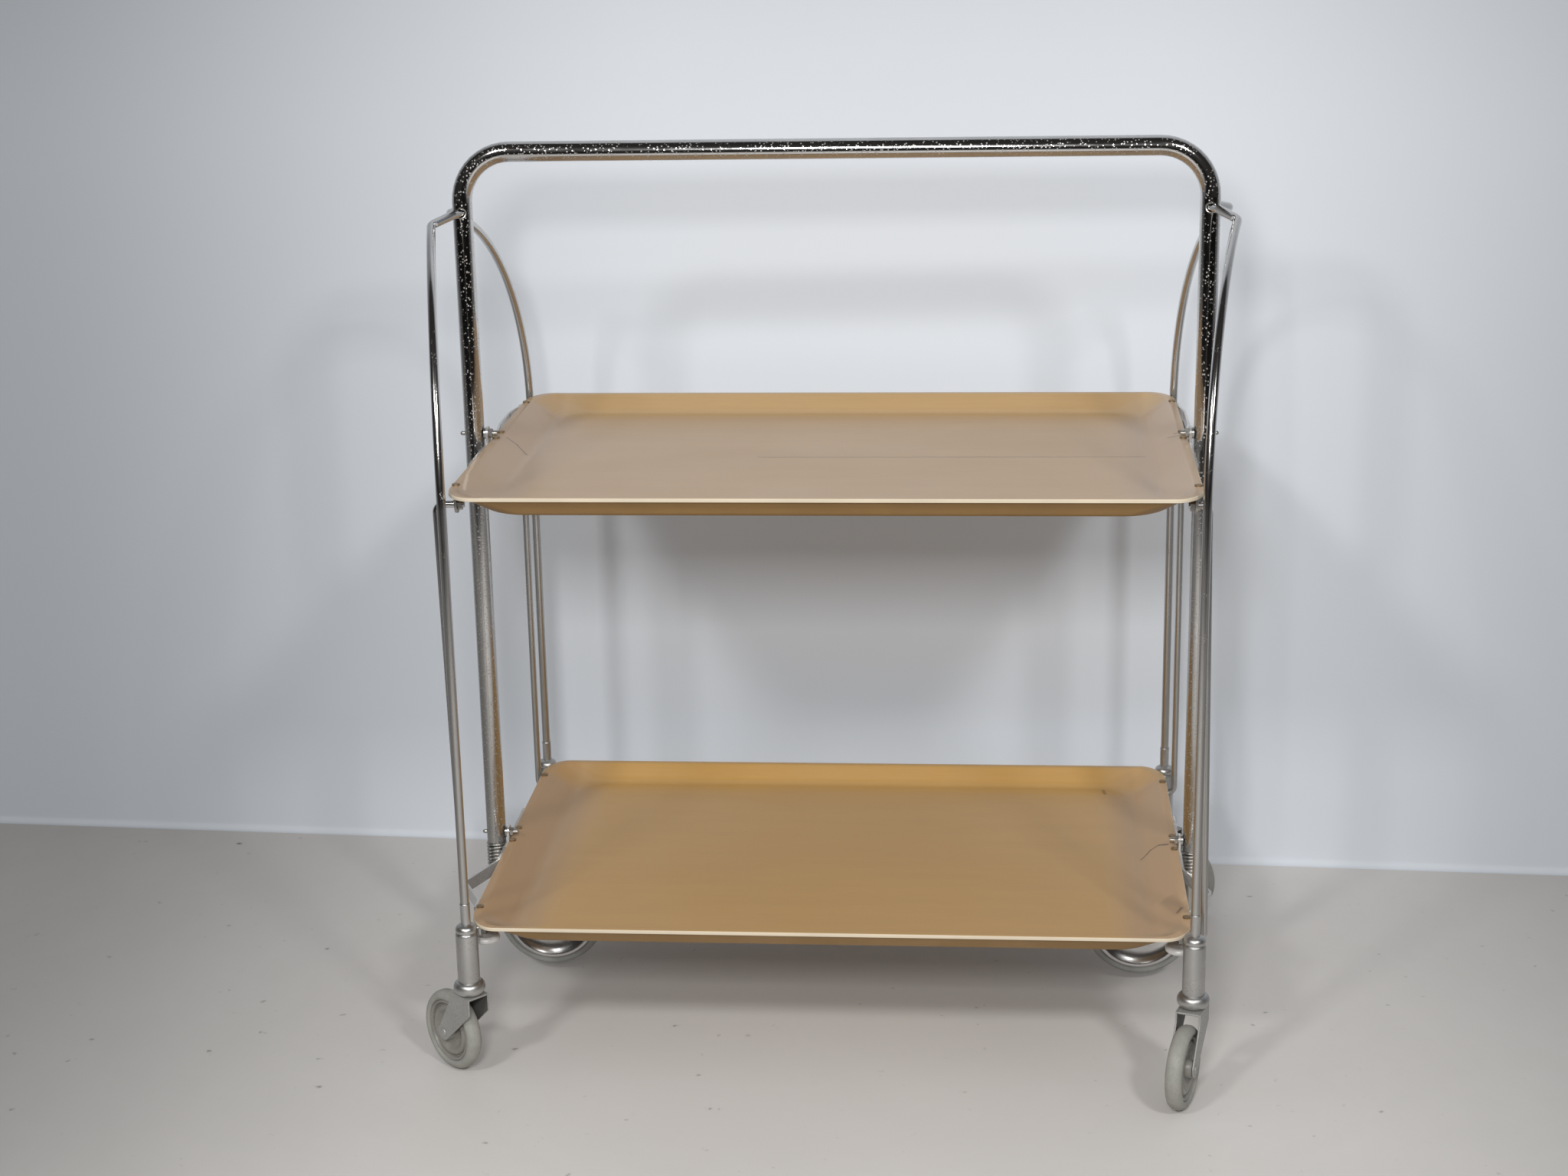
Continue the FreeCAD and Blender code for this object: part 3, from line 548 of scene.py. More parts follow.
def mixed(tree, factor, first, second, blend="MIX"):
    """Mixes two colours, each a socket or a colour, by a factor."""
    colours = [value if isinstance(value, bpy.types.NodeSocket) else (*value, 1) for value in (first, second)]
    inputs = {0: factor, 6: colours[0], 7: colours[1]}
    return add_node(tree, "Mix", inputs, data_type="RGBA", blend_type=blend).outputs[2]


def veiled(tree, mask, base, colour, share):
    """The base with a share of the colour where the mask is."""
    return mixed(tree, times(tree, mask, share), base, colour)


def with_painted_shading(tree, mask, base, painted_tone):
    """The base multiplied by a painted tone of light and shade where the mask is."""
    return mixed(tree, 1.0, base, mixed(tree, mask, (1.0, 1.0, 1.0), painted_tone), "MULTIPLY")


def darker(colour, share):
    return tuple(part * share for part in colour)


def metal(name, colour, rough, pit_scale, pit_cover, worn=None, patch=0.12, pit=None, metallic=1.0):
    """Plated or bare metal with cloudy dulling and pits that hold rust, or another colour."""
    pit_rough, pit_metallic = 0.5, 0.55
    made, tree, shader = blank(name)
    pits = effect(tree, "Pitting", Scale=pit_scale, Cover=pit_cover)
    cloud = effect(tree, "Soiling", Scale=22.0, Contrast=0.22)
    base = mixed(tree, cloud, darker(colour, share=0.86), colour)
    dull = scaled(tree, cloud, rough + patch * 0.5, rough)
    if worn:
        low, high, worn_colour, worn_rough = worn
        depth = inverse(tree, ramp(tree, coordinate(tree, "Z"), low, high))
        base = mixed(tree, depth, base, worn_colour)
        dull = calc(tree, "ADD", dull, times(tree, depth, worn_rough))
    base = veiled(tree, pits, base, pit or finish().rust, share=0.75)
    dull = calc(tree, "ADD", dull, times(tree, pits, pit_rough), clamp=True)
    feed(tree, shader.inputs["Metallic"], scaled(tree, pits, metallic, metallic * pit_metallic))
    surfaced(tree, shader, base, dull, inverse(tree, pits), strength=0.35, distance=0.0002)
    return made


def laminate(name, face, slope, marks_and_highlights):
    """Satin moulded laminate with faint grain, soiled patches, pinker ends, painted light and shade on its
    slopes and in the crease at their foot, its own cracks and spots, and any painted highlight among its lines.
    """
    made, tree, shader = blank(name)
    grain = effect(tree, "Laminate grain", Scale=46.0)
    cloud = effect(tree, "Soiling", Scale=5.0, Contrast=0.3)
    base = mixed(tree, grain, darker(face, share=0.88), darker(face, share=1.10))
    base = veiled(tree, cloud, base, slope, share=0.22)
    across = calc(tree, "ABSOLUTE", coordinate(tree, "X"))
    base = veiled(tree, ramp(tree, across, *ENDS), base, slope, share=0.75)
    # Painted shade: a darker band in the crease at the foot of the end slopes
    crease = times(tree, ramp(tree, across, *CREASE_SHADE_IN), ramp(tree, across, *CREASE_SHADE_OUT))
    base = veiled(tree, crease, base, darker(slope, share=0.5), share=0.16)
    # Painted light and shade: each slope lighter or darker as it faces the light
    for axis, start, full, painted_tone in SLOPE_LIGHT_AND_SHADE:
        base = with_painted_shading(tree, ramp(tree, coordinate(tree, axis), start, full), base, painted_tone)
    height, mark_depth = grain, 1.5
    # Lines: cracks and marks, with painted highlights among them
    for width, strength, colour, *points in marks_and_highlights:
        for start, stop in zip(points, points[1:]):
            line = effect(tree, "Hairline", From=(*start, 0), To=(*stop, 0), Width=width, Waver=0.0016)
            base = veiled(tree, line, base, colour, strength)
            height = calc(tree, "SUBTRACT", height, times(tree, line, mark_depth))
    rough = scaled(tree, cloud, low=0.27, high=0.40)
    surfaced(tree, shader, base, rough, height, strength=0.08, distance=0.0004)
    return made


def board(name, colour, contrast):
    """Bare edge or back of the laminate board, streaked and patchy."""
    made, tree, shader = blank(name)
    grain = effect(tree, "Laminate grain", Scale=70.0)
    cloud = effect(tree, "Soiling", Scale=18.0, Contrast=0.2)
    base = mixed(tree, grain, darker(colour, contrast), colour)
    base = veiled(tree, cloud, base, darker(colour, contrast * 0.8), share=0.3)
    rough = scaled(tree, cloud, low=0.5, high=0.65)
    surfaced(tree, shader, base, rough, grain, strength=0.15, distance=0.0005)
    return made


def moulded(name, colour, rough, dirt):
    """Grey rubber or plastic with scuffs and settled dirt."""
    made, tree, shader = blank(name)
    cloud = effect(tree, "Soiling", Scale=70.0, Contrast=0.2)
    specks = effect(tree, "Pitting", Scale=700.0, Cover=0.7)
    base = veiled(tree, cloud, colour, darker(colour, dirt), share=0.5)
    base = veiled(tree, specks, base, darker(colour, share=0.45), share=0.5)
    dull = scaled(tree, cloud, low=rough, high=rough + 0.15)
    surfaced(tree, shader, base, dull, cloud, strength=0.2, distance=0.0003)
    return made


# Where along X the laminate turns pinker, and where the painted shade in the crease at the slope's foot lies
ENDS = (0.225, 0.275)
CREASE_SHADE_IN = (0.238, 0.260)
CREASE_SHADE_OUT = (0.276, 0.266)
# Painted light and shade on the slopes as each faces the light, the left slope darker, the right lighter and
# the back more golden: axis, where it begins and where it is full, and the tone it multiplies by
SLOPE_LIGHT_AND_SHADE = (
    ("Y", 0.160, 0.172, (1.03, 1.0, 0.84)),
    ("X", -0.262, -0.275, (0.89, 0.84, 0.75)),
    ("X", 0.262, 0.275, (1.05, 1.04, 1.0)),
)
DARK_LINE = (0.035, 0.022, 0.014)
PAINTED_HIGHLIGHT = (0.62, 0.50, 0.36)
# Cracks and marks of each tray, and a painted highlight on the upper tray's lip: width, strength, colour and
# the points they pass through, seen in plan
UPPER_MARKS_AND_HIGHLIGHT = (
    (0.0009, 0.9, DARK_LINE, (-0.067, 0.005), (0.264, 0.006)),
    (0.0011, 0.9, DARK_LINE, (-0.2892, 0.0225), (-0.2802, 0.0201), (-0.2693, 0.0083)),
    (0.0009, 0.7, DARK_LINE, (0.2842, 0.0339), (0.2940, 0.0180)),
    (0.0011, 0.7, DARK_LINE, (0.2900, 0.0340), (0.2965, 0.0259)),
    # Painted highlight along the left lip, not a mark on the laminate
    (0.0018, 0.6, PAINTED_HIGHLIGHT, (-0.2985, -0.0711), (-0.2942, -0.1252), (-0.2889, -0.1639)),
)
LOWER_MARKS = (
    (0.0011, 0.85, DARK_LINE, (0.2678, 0.0015), (0.2770, 0.0122), (0.2838, 0.0133), (0.2917, 0.0038)),
    (0.0022, 0.5, DARK_LINE, (0.2414, 0.1749), (0.2428, 0.1656)),
    (0.0025, 0.7, (0.10, 0.05, 0.025), (0.2907, -0.1431), (0.2936, -0.1383)),
    (0.0090, 0.25, (0.16, 0.09, 0.05), (0.2841, -0.1098), (0.2930, -0.1431)),
)
MATERIALS = {}


def material(name):
    """One of the trolley's finishes, made when it is first asked for."""
    if name not in MATERIALS:
        tones = finish()
        makers = {
            "upper laminate": lambda: laminate("Upper tray laminate", tones.upper_face, tones.upper_slope,
                                               UPPER_MARKS_AND_HIGHLIGHT),
            "lower laminate": lambda: laminate("Lower tray laminate", tones.lower_face, tones.lower_slope,
                                               LOWER_MARKS),
            "board edge": lambda: board("Laminate board edge", tones.board_edge, 0.85),
            "underside": lambda: board("Tray underside", tones.underside, 0.75),
            "chrome": lambda: metal("Bright chrome", tones.chrome, 0.07, 400.0, 0.84, pit=tones.oxide,
                                    worn=(0.15, 0.50, tones.worn_chrome, 0.16)),
            "rod chrome": lambda: metal("Rod chrome", tones.chrome, 0.12, 800.0, 0.45, pit=tones.oxide,
                                        worn=(0.15, 0.60, tones.worn_chrome, 0.18)),
            "sleeve": lambda: metal("Sleeve plating", tones.sleeve, 0.34, 800.0, 0.55, patch=0.25),
            "bracket": lambda: metal("Bracket steel", tones.bracket, 0.40, 800.0, 0.5, metallic=0.2),
            "strap": lambda: metal("Strap plating", tones.chrome, 0.20, 900.0, 0.5, metallic=0.65),
            "steel": lambda: metal("Zinc steel", tones.steel, 0.27, 900.0, 0.5),
            "old steel": lambda: metal("Worn fork steel", tones.old_steel, 0.42, 460.0, 1.0, patch=0.3,
                                       pit=darker(tones.old_steel, 0.42), metallic=0.6),
            # Darker copy of the fork steel: painted shade on the cheeks' inner faces
            "shaded fork inside": lambda: metal("Fork steel with painted shade", darker(tones.old_steel, 0.30), 0.6, 560.0, 0.7,
                                         metallic=0.4),
            "hub": lambda: metal("Wheel hub chrome", tones.chrome, 0.20, 1000.0, 0.4),
            "rivet": lambda: metal("Brown rivet", tones.rivet, 0.5, 900.0, 0.5),
            "rubber": lambda: moulded("Grey tyre rubber", tones.rubber, 0.6, 0.7),
            "pale rubber": lambda: moulded("Pale tyre rubber", tones.pale_rubber, 0.55, 0.75),
            "plastic": lambda: moulded("Grey disc plastic", tones.plastic, 0.30, 0.65),
        }
        MATERIALS[name] = makers[name]()
    return MATERIALS[name]


# Pieces


def tray_section(lip, slope, outward, bends):
    """Half section of a tray as inset and height, from its back, round the edge, to its floor."""
    size = sizes()
    deep, thick = size.dish_depth, size.board
    floor_run = 30 * MM
    reach = lip + slope + floor_run
    path = [(reach, -deep - thick), (lip + slope - outward, -deep - thick), (lip - outward, -thick),
            (0, -thick), (0, 0), (lip, 0), (lip + slope, -deep), (reach, -deep)]
    return smooth_profile(path, [bend * MM for bend in bends], 8)


def tray_ring(end, side, rim):
    """One line round the tray; at each corner it passes from the end's inset and height to the side's."""
    size = sizes()
    depth = min(-min(end[1], side[1]) / size.dish_depth, 1.0)
    most_inset = 3.5 * MM
    inset = min(end[0], most_inset)
    along = size.corner_x - inset + (size.dish_corner - size.corner_x + inset) * depth
    aside = size.corner_y - inset + (size.dish_corner - size.corner_y + inset) * depth
    x = size.tray_length / 2 - end[0] - along
    y = size.tray_depth / 2 - side[0] - aside
    steps = 20
    points = []
    for quarter, (cx, cy) in enumerate(((x, y), (-x, y), (-x, -y), (x, -y))):
        for i in range(steps + 1):
            angle = (quarter + i / steps) * math.pi / 2
            share = math.sin(angle) ** 2
            height = rim + end[1] * (1 - share) + side[1] * share
            points.append(Vector((cx + along * math.cos(angle), cy + aside * math.sin(angle), height)))
    return points


def build_tray(tray):
    """One moulded tray: face, pale board edge and brown back."""
    size = sizes()
    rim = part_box(f"{tray}_tray")[1][2]
    at_ends = tray_section(size.end_lip, size.end_slope, 0, (16, 5, 0.5, 0.8, 7, 18))
    at_sides = tray_section(size.side_lip, size.side_slope, size.board / 2, (10, 2.5, 0.5, 0.8, 3.5, 13))
    mesh = bmesh.new()
    rings = [[mesh.verts.new(spot) for spot in tray_ring(end, side, rim)]
             for end, side in zip(at_ends, at_sides)]
    face, edge, back = range(3)
    edge_width = 0.6 * MM
    for low, high, near, far in zip(rings, rings[1:], at_ends, at_ends[1:]):
        on_edge = max(near[0], far[0]) < edge_width
        on_face = near[1] > -size.board / 2 or far[0] > near[0]
        skin(mesh, low, high, edge if on_edge else face if on_face else back)
    mesh.faces.new(rings[0]).material_index = back
    mesh.faces.new(rings[-1]).material_index = face
    looks = [f"{tray} laminate", "board edge", "underside"]
    piece(f"{tray}_tray_board", mesh, f"{tray}_shelf", [f"{tray}_tray"], looks, 60.0)


def build_brackets():
    """Corner brackets under the lower tray: a flange, a lug for the link's pin and a rolled round foot."""
    sheet, pin = 2 * MM, 123.4 * MM
    lug_at, lug_half = 294.2 * MM, 7 * MM
    flange_inner, flange_outer, flange_half = 293.2 * MM, 298.5 * MM, 13 * MM
    foot_at = 290.4 * MM
    foot = [(CORE, 116.4), (5.6, 116.6), (7.2, 117.8), (8.6, 118.5), (10.2, 118.2), (11.4, 117.1),
            (11.9, 115.6), (11.5, 114.1), (10.4, 113.1), (8.8, 112.8), (CORE, 112.8)]
    top = limits("lower_tray_lugs")[1].z
    mesh = bmesh.new()
    for sx, sy in CORNERS.values():
        y = middle("link_rod_front_left" if sy < 0 else "link_rod_rear_left").y
        lug = arc(y, pin, lug_half, lug_half, 180, 360, 12) + [(y + lug_half, top), (y - lug_half, top)]
        add_plate(mesh, lug, sheet, turned_to((sx * lug_at, 0, 0), (0, 1, 0), (0, 0, 1), (1, 0, 0)))
        flange = oblong((sx * flange_inner, y - flange_half), (sx * flange_outer, y + flange_half))
        add_plate(mesh, flange, sheet, upright((0, 0, top - sheet / 2)))
        add_lathe(mesh, in_mm(foot), upright((sx * foot_at, y, 0)), 40, closed=False)
    piece("lower_tray_brackets", mesh, "lower_shelf", ["lower_tray_lugs"], ["bracket"], 40.0)


def build_leg(corner, sx, sy):
    """Leg bar from its sleeve, swept inward in a long bend to the elbow and the hook in the handle."""
    elbow_x, elbow_y, hook_y, tip_y = 332 * MM, 37 * MM, 7.5 * MM, 4 * MM
    tip_run, knee_run, knee_bend, step = 9 * MM, 4 * MM, 8 * MM, 0.8 * MM
    size = sizes()
    low, high = limits(f"leg_rod_{corner}")
    radius = size.leg_rod / 2
    foot = middle(f"leg_sleeve_{corner}")
    foot.z = low.z
    sweep_at = Vector((foot.x, foot.y, size.leg_turn))
    hook_height = high.z - radius
    elbow = Vector((sx * elbow_x, sy * elbow_y, hook_height))
    hook = Vector((sx * TUBE_SIDE, sy * hook_y, hook_height))
    inward = (hook - elbow).normalized()
    tip = elbow + inward * ((elbow.y - sy * tip_y) / -inward.y)
    shoulder = tip - inward * tip_run
    knee = shoulder - inward * knee_run
    elbow.z -= size.elbow_drop
    rise = elbow - sweep_at
    half = (foot - sweep_at).angle(rise) / 2
    sweep = (rise.length - size.elbow_run) * math.tan(half)
    path = bent_path([foot, sweep_at, elbow, knee, shoulder], [sweep, size.elbow_bend, knee_bend], 20)
    radii = [radius] * len(path) + [size.rod_tip / 2] * 2
    mesh = bmesh.new()
    add_tube(mesh, path + [shoulder + inward * step, tip], radii)
    piece(f"leg_bar_{corner}", mesh, f"leg_{corner}", [f"leg_rod_{corner}"], ["rod chrome"])


def build_sleeve(corner):
    """Ferrule, rounded collar and sleeve at a leg's foot."""
    node = f"leg_sleeve_{corner}"
    foot, top = [spot[2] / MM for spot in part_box(node)]
    at = middle(node)
    at.z = 0
    outline = [(3.55, top - 0.4), (3.7, top), (4.1, top - 0.1), (4.3, top - 0.7), (4.3, top - 1.5),
               (4.15, top - 1.9), (4.15, 140.4), (6.6, 139.5), (8.0, 138.3), (8.8, 136.7), (9.0, 135.0),
               (8.75, 133.8), (8.2, 133.1), (8.8, 132.7), (9.2, 131.9), (9.3, 130.8), (9.3, 87.5), (9.0, 85.4),
               (8.4, foot), (4.2, foot)]
    lathe_piece(f"foot_sleeve_{corner}", in_mm(outline), upright(at), 48,
                f"leg_{corner}", node, "sleeve")


def build_bead(corner):
    """Round-edged bead under a sleeve."""
    hole, collar, growth, rise = 4.2 * MM, 9.35 * MM, 1.1 * MM, 2 * MM
    node = f"sleeve_ring_{corner}"
    radius = span(node, 0) / 2 + growth
    half = span(node, 2) / 2
    profile = [(hole, -half), (hole, half), (collar, half)]
    profile += arc(collar, rise, radius - collar, half + rise, 90, -90, 18)
    lathe_piece(f"foot_bead_{corner}", profile, upright(middle(node)), 48,
                f"leg_{corner}", node, "sleeve")


def axle_place(body, centre):
    """Frame of a wheel whose Z axis lies along its axle, read from its spin joint."""
    joint = next(joint for joint in frame["joints"] if joint["child"] == body)
    lie = Vector((0, 0, 1)).rotation_difference(Vector(joint["axis"]).normalized())
    return Matrix.Translation(centre) @ lie.to_matrix().to_4x4()


def build_caster_wheel(corner):
    """Tyre with a rounded tread and a stepped disc with raised rings."""
    body, tyre = f"caster_{corner}", f"caster_tyre_{corner}"
    place = axle_place(body, middle(tyre))
    edge = span(tyre, 2) / 2
    drawn_edge = 35
    tread = [(27, 5.6), (27.8, 6.5), (29.2, 7.0), (30.8, 6.8), (32.2, 6.0), (33.4, 4.7), (34.2, 3.3),
             (34.7, 1.9)]
    tread = mirrored([(radius / drawn_edge * edge, height * MM) for radius, height in tread])
    lathe_piece(f"tyre_{corner}", tread, place, 96, body, tyre, "rubber")
    disc = [(3.1, 8.6), (6.4, 8.6), (7.2, 7.8), (8.2, 3.0), (9.6, 2.2), (13.0, 2.3), (15.6, 3.0),
            (17.4, 4.5), (19.0, 5.3), (20.6, 5.2), (21.9, 4.2), (22.7, 2.8), (23.5, 2.8), (24.0, 4.6),
            (24.8, 5.6), (26.0, 5.6), (26.97, 4.7)]
    lathe_piece(f"disc_{corner}", mirrored(in_mm(disc)), place, 72,
                body, f"caster_disc_{corner}", "plastic", 40.0)


def build_caster_axle(corner):
    """Axle bolt with a domed head on each side."""
    node = f"caster_axle_{corner}"
    half = [(CORE, 11.9), (2.4, 11.85), (3.4, 11.6), (3.8, 11.2), (3.9, 10.7), (3.0, 10.6)]
    lathe_piece(f"axle_bolt_{corner}", mirrored(in_mm(half)), axle_place(f"caster_{corner}", middle(node)), 40,
                f"fork_{corner}", node, "old steel", 50.0, closed=False)


def build_fork(corner):
    """Pressed channel fork: two cheeks, a crown plate and the stem."""
    top, gap, ear = 77.6 * MM, 18 * MM, 7 * MM
    rear, rear_drop = -12 * MM, 15 * MM
    lead, lead_drop = 16 * MM, 9.6 * MM
    size = sizes()
    plate = size.fork_plate
    pivot = middle(f"leg_sleeve_{corner}")
    wheel = middle(f"caster_tyre_{corner}")
    up = Vector((0, 0, 1))
    heading = Vector((wheel.x - pivot.x, wheel.y - pivot.y, 0)).normalized()
    aside = up.cross(heading)
    floor_spot = Vector((pivot.x, pivot.y, 0))
    cheek = [(rear, top), (rear, top - rear_drop), *arc(size.trail, wheel.z, ear, ear, -135, 45, 12),
             (lead, top - lead_drop), (lead, top)]
    mesh = bmesh.new()
    for side in (-1, 1):
        spot = floor_spot + aside * side * (gap + plate) / 2
        add_plate(mesh, cheek, plate, turned_to(spot, heading, up, aside))
    # Inner faces of the cheeks take the darker steel, painted shade between them
    mesh.normal_update()
    for face in mesh.faces:
        off = face.calc_center_median() - pivot
        if abs(face.normal.dot(aside)) > 0.9 and abs(off.dot(aside)) < (gap + plate) / 2:
            face.material_index = 1
    crown = oblong((rear, -gap / 2), (lead, gap / 2))
    add_plate(mesh, crown, plate, turned_to(floor_spot + up * (top - plate / 2), heading, aside, up))
    under = (top - plate) / MM
    stem = in_mm([(CORE, 124), (3.2, 124), (4, 123), (4, under), (CORE, under)])
    add_lathe(mesh, stem, upright(floor_spot), 32, closed=False)
    piece(f"fork_channel_{corner}", mesh, f"fork_{corner}", [f"caster_fork_{corner}"],
          ["old steel", "shaded fork inside"], 40.0, bevel=0.45 * MM)


def build_link(corner, sx):
    """Link rod cranked inboard at both ends, with turned-down pins."""
    shoulder, step = sx * 295.5 * MM, sx * 0.2 * MM
    size = sizes()
    node = f"link_rod_{corner}"
    low, high = limits(node)
    radius, pin = size.link_rod / 2, size.rod_tip / 2
    outer_top, outer_foot = [sx * (size.link_side + lean * MM) for lean in LEANS[corner]]
    inner = low.x if sx > 0 else high.x
    top, foot = high.z - radius, low.z + radius
    y = (low.y + high.y) / 2
    bar = [(shoulder, top), (outer_top, top), (outer_foot, foot), (shoulder, foot)]
    bar = bent_path([Vector((x, y, z)) for x, z in bar], [size.link_bend] * 2)
    upper, lower = [[Vector((x, y, z)) for x in (inner, shoulder - step)] for z in (top, foot)]
    mesh = bmesh.new()
    add_tube(mesh, upper + bar + lower[::-1], [pin] * 2 + [radius] * len(bar) + [pin] * 2)
    piece(f"link_bar_{corner}", mesh, f"link_{corner}", [node], ["rod chrome"])
    paint(f"link_nuts_{corner}", "steel")


def build_carrier(side, sx):
    """Sprung shaft with its seat, turned inboard and back to carry the wheel."""
    size = sizes()
    node = f"carrier_shaft_{side}"
    high = limits(node)[1]
    x, shaft_top = sx * TUBE_SIDE, 131 * MM
    wheel = middle(f"wheel_hub_{side}")
    radius = size.shaft / 2
    wheel_bend = radius + 1 * MM
    route = [(x, 0, shaft_top), (x, 0, wheel.z), (wheel.x, 0, wheel.z), (wheel.x, high.y, wheel.z)]
    mesh = bmesh.new()
    add_tube(mesh, bent_path([Vector(spot) for spot in route], [size.shaft_bend, wheel_bend], 12), radius, 24)
    cup = in_mm([(4, 112), (8.4, 112), (8.8, 111), (8.4, 107), (6.6, 104.4), (4, 103.6)])
    add_lathe(mesh, cup, upright((x, 0, 0)), 48)
    top = high.z / MM
    plug = in_mm([(CORE, top), (6, top), (7, top - 1), (7, 130), (CORE, 130)])
    add_lathe(mesh, plug, upright((x, 0, 0)), 32, closed=False)
    piece(f"wheel_shaft_{side}", mesh, f"carrier_{side}", [node], ["steel"], 50.0)
    paint(f"wheel_clip_{side}", "steel")


def build_spring(side, sx):
    """Coil spring above the seat, riding the carrier."""
    seat, top, travel = 112.2, 134.3, 6
    coil, dead_end, steps = 8.5 * MM, 0.06, 28
    size = sizes()
    x, wire = sx * TUBE_SIDE, size.spring_wire / 2
    rise = (top - seat) * MM - 2 * wire
    count = int(size.spring_turns * steps)
    path = []
    for i in range(count + 1):
        share = i / count
        height = min(max((share - dead_end) / (1 - 2 * dead_end), 0.0), 1.0) * rise
        angle = 2 * math.pi * size.spring_turns * share
        path.append(Vector((x + coil * math.cos(angle), coil * math.sin(angle), seat * MM + wire + height)))
    mesh = bmesh.new()
    add_tube(mesh, path, wire, 12)
    spring = piece(f"coil_spring_{side}", mesh, f"carrier_{side}", [f"carrier_spring_{side}"],
                   ["steel"])
    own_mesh(spring)


def build_big_wheel(side):
    """Dished chrome wheel with a narrow grey tyre."""
    body, tyre = f"big_wheel_{side}", f"wheel_tyre_{side}"
    place = Matrix.Translation(middle(tyre)) @ Matrix.Rotation(math.radians(-90), 4, "X")
    edge = span(tyre, 2) / 2 / MM
    wide = span(tyre, 1) / 2 / MM
    rim = edge - 7
    half = [(rim, wide - 2), (rim + 1.5, wide), (edge - 2.6, wide), (edge, wide - 3.6)]
    tread = smooth_profile(mirrored(in_mm(half)), [bend * MM for bend in (1, 2, 3, 3, 2, 1)], 6)
    lathe_piece(f"big_tyre_{side}", tread, place, 128, body, tyre, "pale rubber")
    half = [(4.65, 8.0), (8.6, 8.0), (9.4, 7.2), (11.5, 3.4), (15.0, 2.3), (27.0, 2.0), (32.0, 2.6),
            (36.0, 4.4), (38.6, 6.6), (40.4, 7.1), (41.97, 6.9)]
    lathe_piece(f"big_hub_{side}", mirrored(in_mm(half)), place, 96,
                body, f"wheel_hub_{side}", "hub")


def build_pivot_pins():
    """Pivot pins with a small domed end outside the tube."""
    core, step = 0.05 * MM, 0.4 * MM
    size = sizes()
    wide, narrow = size.pin_shank / 2, size.pin_end / 2
    out = size.tube_side + size.tube / 2
    end = out + size.pin_stand
    dome = arc(0, end - narrow, narrow, narrow, 0, 90, 6)
    outline = [(core, size.pin_start), (wide, size.pin_start), (wide, out - step), (narrow, out - step),
               *dome[:-1], (core, end)]
    mesh = bmesh.new()
    for height in (size.upper_pivot, size.lower_pivot):
        for sx in SIDES.values():
            place = upright((0, 0, height)) @ Matrix.Rotation(sx * math.pi / 2, 4, "Y")
            add_lathe(mesh, outline, place, 24, closed=False)
    piece("pivot_pins", mesh, "frame", ["pivot_bolts"], ["steel"], 40.0)


def build_eyelets():
    """Rolled rims of the hook holes, which follow the tube's round."""
    size = sizes()
    radius, bead, tube = size.eyelet / 2, size.eyelet_bead / 2, size.tube / 2
    mesh = bmesh.new()
    for sx, sy in CORNERS.values():
        centre = Vector((sx * size.tube_side, 0, size.hook_height))
        rows = []
        for cos, sin in circle(36):
            out = Vector((cos, 0, sin))
            spot = centre + out * radius + Vector((0, sy * math.sqrt(tube ** 2 - (radius * cos) ** 2), 0))
            rows.append([mesh.verts.new(spot + (out * over + Vector((0, away, 0))) * bead)
                         for over, away in circle(10)])
        for low, high in zip(rows, rows[1:] + rows[:1]):
            skin(mesh, low, high)
    piece("hook_eyelets", mesh, "frame", [], ["steel"])


# Operators


class TROLLEY_OT_handle(bpy.types.Operator):
    """Finish the handle tube, its pivot pins and the rims of its hook holes"""

    bl_idname = "trolley.handle"
    bl_label = "Handle and Pins"

    def execute(self, context):
        paint("handle_frame", "chrome")
        build_pivot_pins()
        build_eyelets()
        paint("pivot_nuts", "steel")
        return {"FINISHED"}


class TROLLEY_OT_trays(bpy.types.Operator):
    """Mould the two trays and finish their straps, lugs and rivets"""

    bl_idname = "trolley.trays"
    bl_label = "Trays"

    def execute(self, context):
        for tray in TRAYS:
            build_tray(tray)
            paint(f"{tray}_tray_straps", "strap")
            paint(f"{tray}_tray_rivets", "rivet")
        paint("upper_tray_lugs", "steel")
        build_brackets()
        return {"FINISHED"}


class TROLLEY_OT_legs(bpy.types.Operator):
    """Bend the four legs and fit their sleeves and beads"""

    bl_idname = "trolley.legs"
    bl_label = "Legs"

    def execute(self, context):
        for corner, (sx, sy) in CORNERS.items():
            build_leg(corner, sx, sy)
            build_sleeve(corner)
            build_bead(corner)
        return {"FINISHED"}


class TROLLEY_OT_links(bpy.types.Operator):
    """Bend the four link rods"""

    bl_idname = "trolley.links"
    bl_label = "Link Rods"

    def execute(self, context):
        for corner, (sx, _) in CORNERS.items():
            build_link(corner, sx)
        return {"FINISHED"}


class TROLLEY_OT_casters(bpy.types.Operator):
    """Build the four swivel casters"""

    bl_idname = "trolley.casters"
    bl_label = "Casters"

    def execute(self, context):
        for corner in CORNERS:
            build_caster_wheel(corner)
            build_caster_axle(corner)
            build_fork(corner)
        return {"FINISHED"}


class TROLLEY_OT_big_wheels(bpy.types.Operator):
    """Build the two big wheels with their sprung shafts"""

    bl_idname = "trolley.big_wheels"
    bl_label = "Big Wheels"

    def execute(self, context):
        for side, sx in SIDES.items():
            build_carrier(side, sx)
            build_spring(side, sx)
            build_big_wheel(side)
        return {"FINISHED"}


# Stage

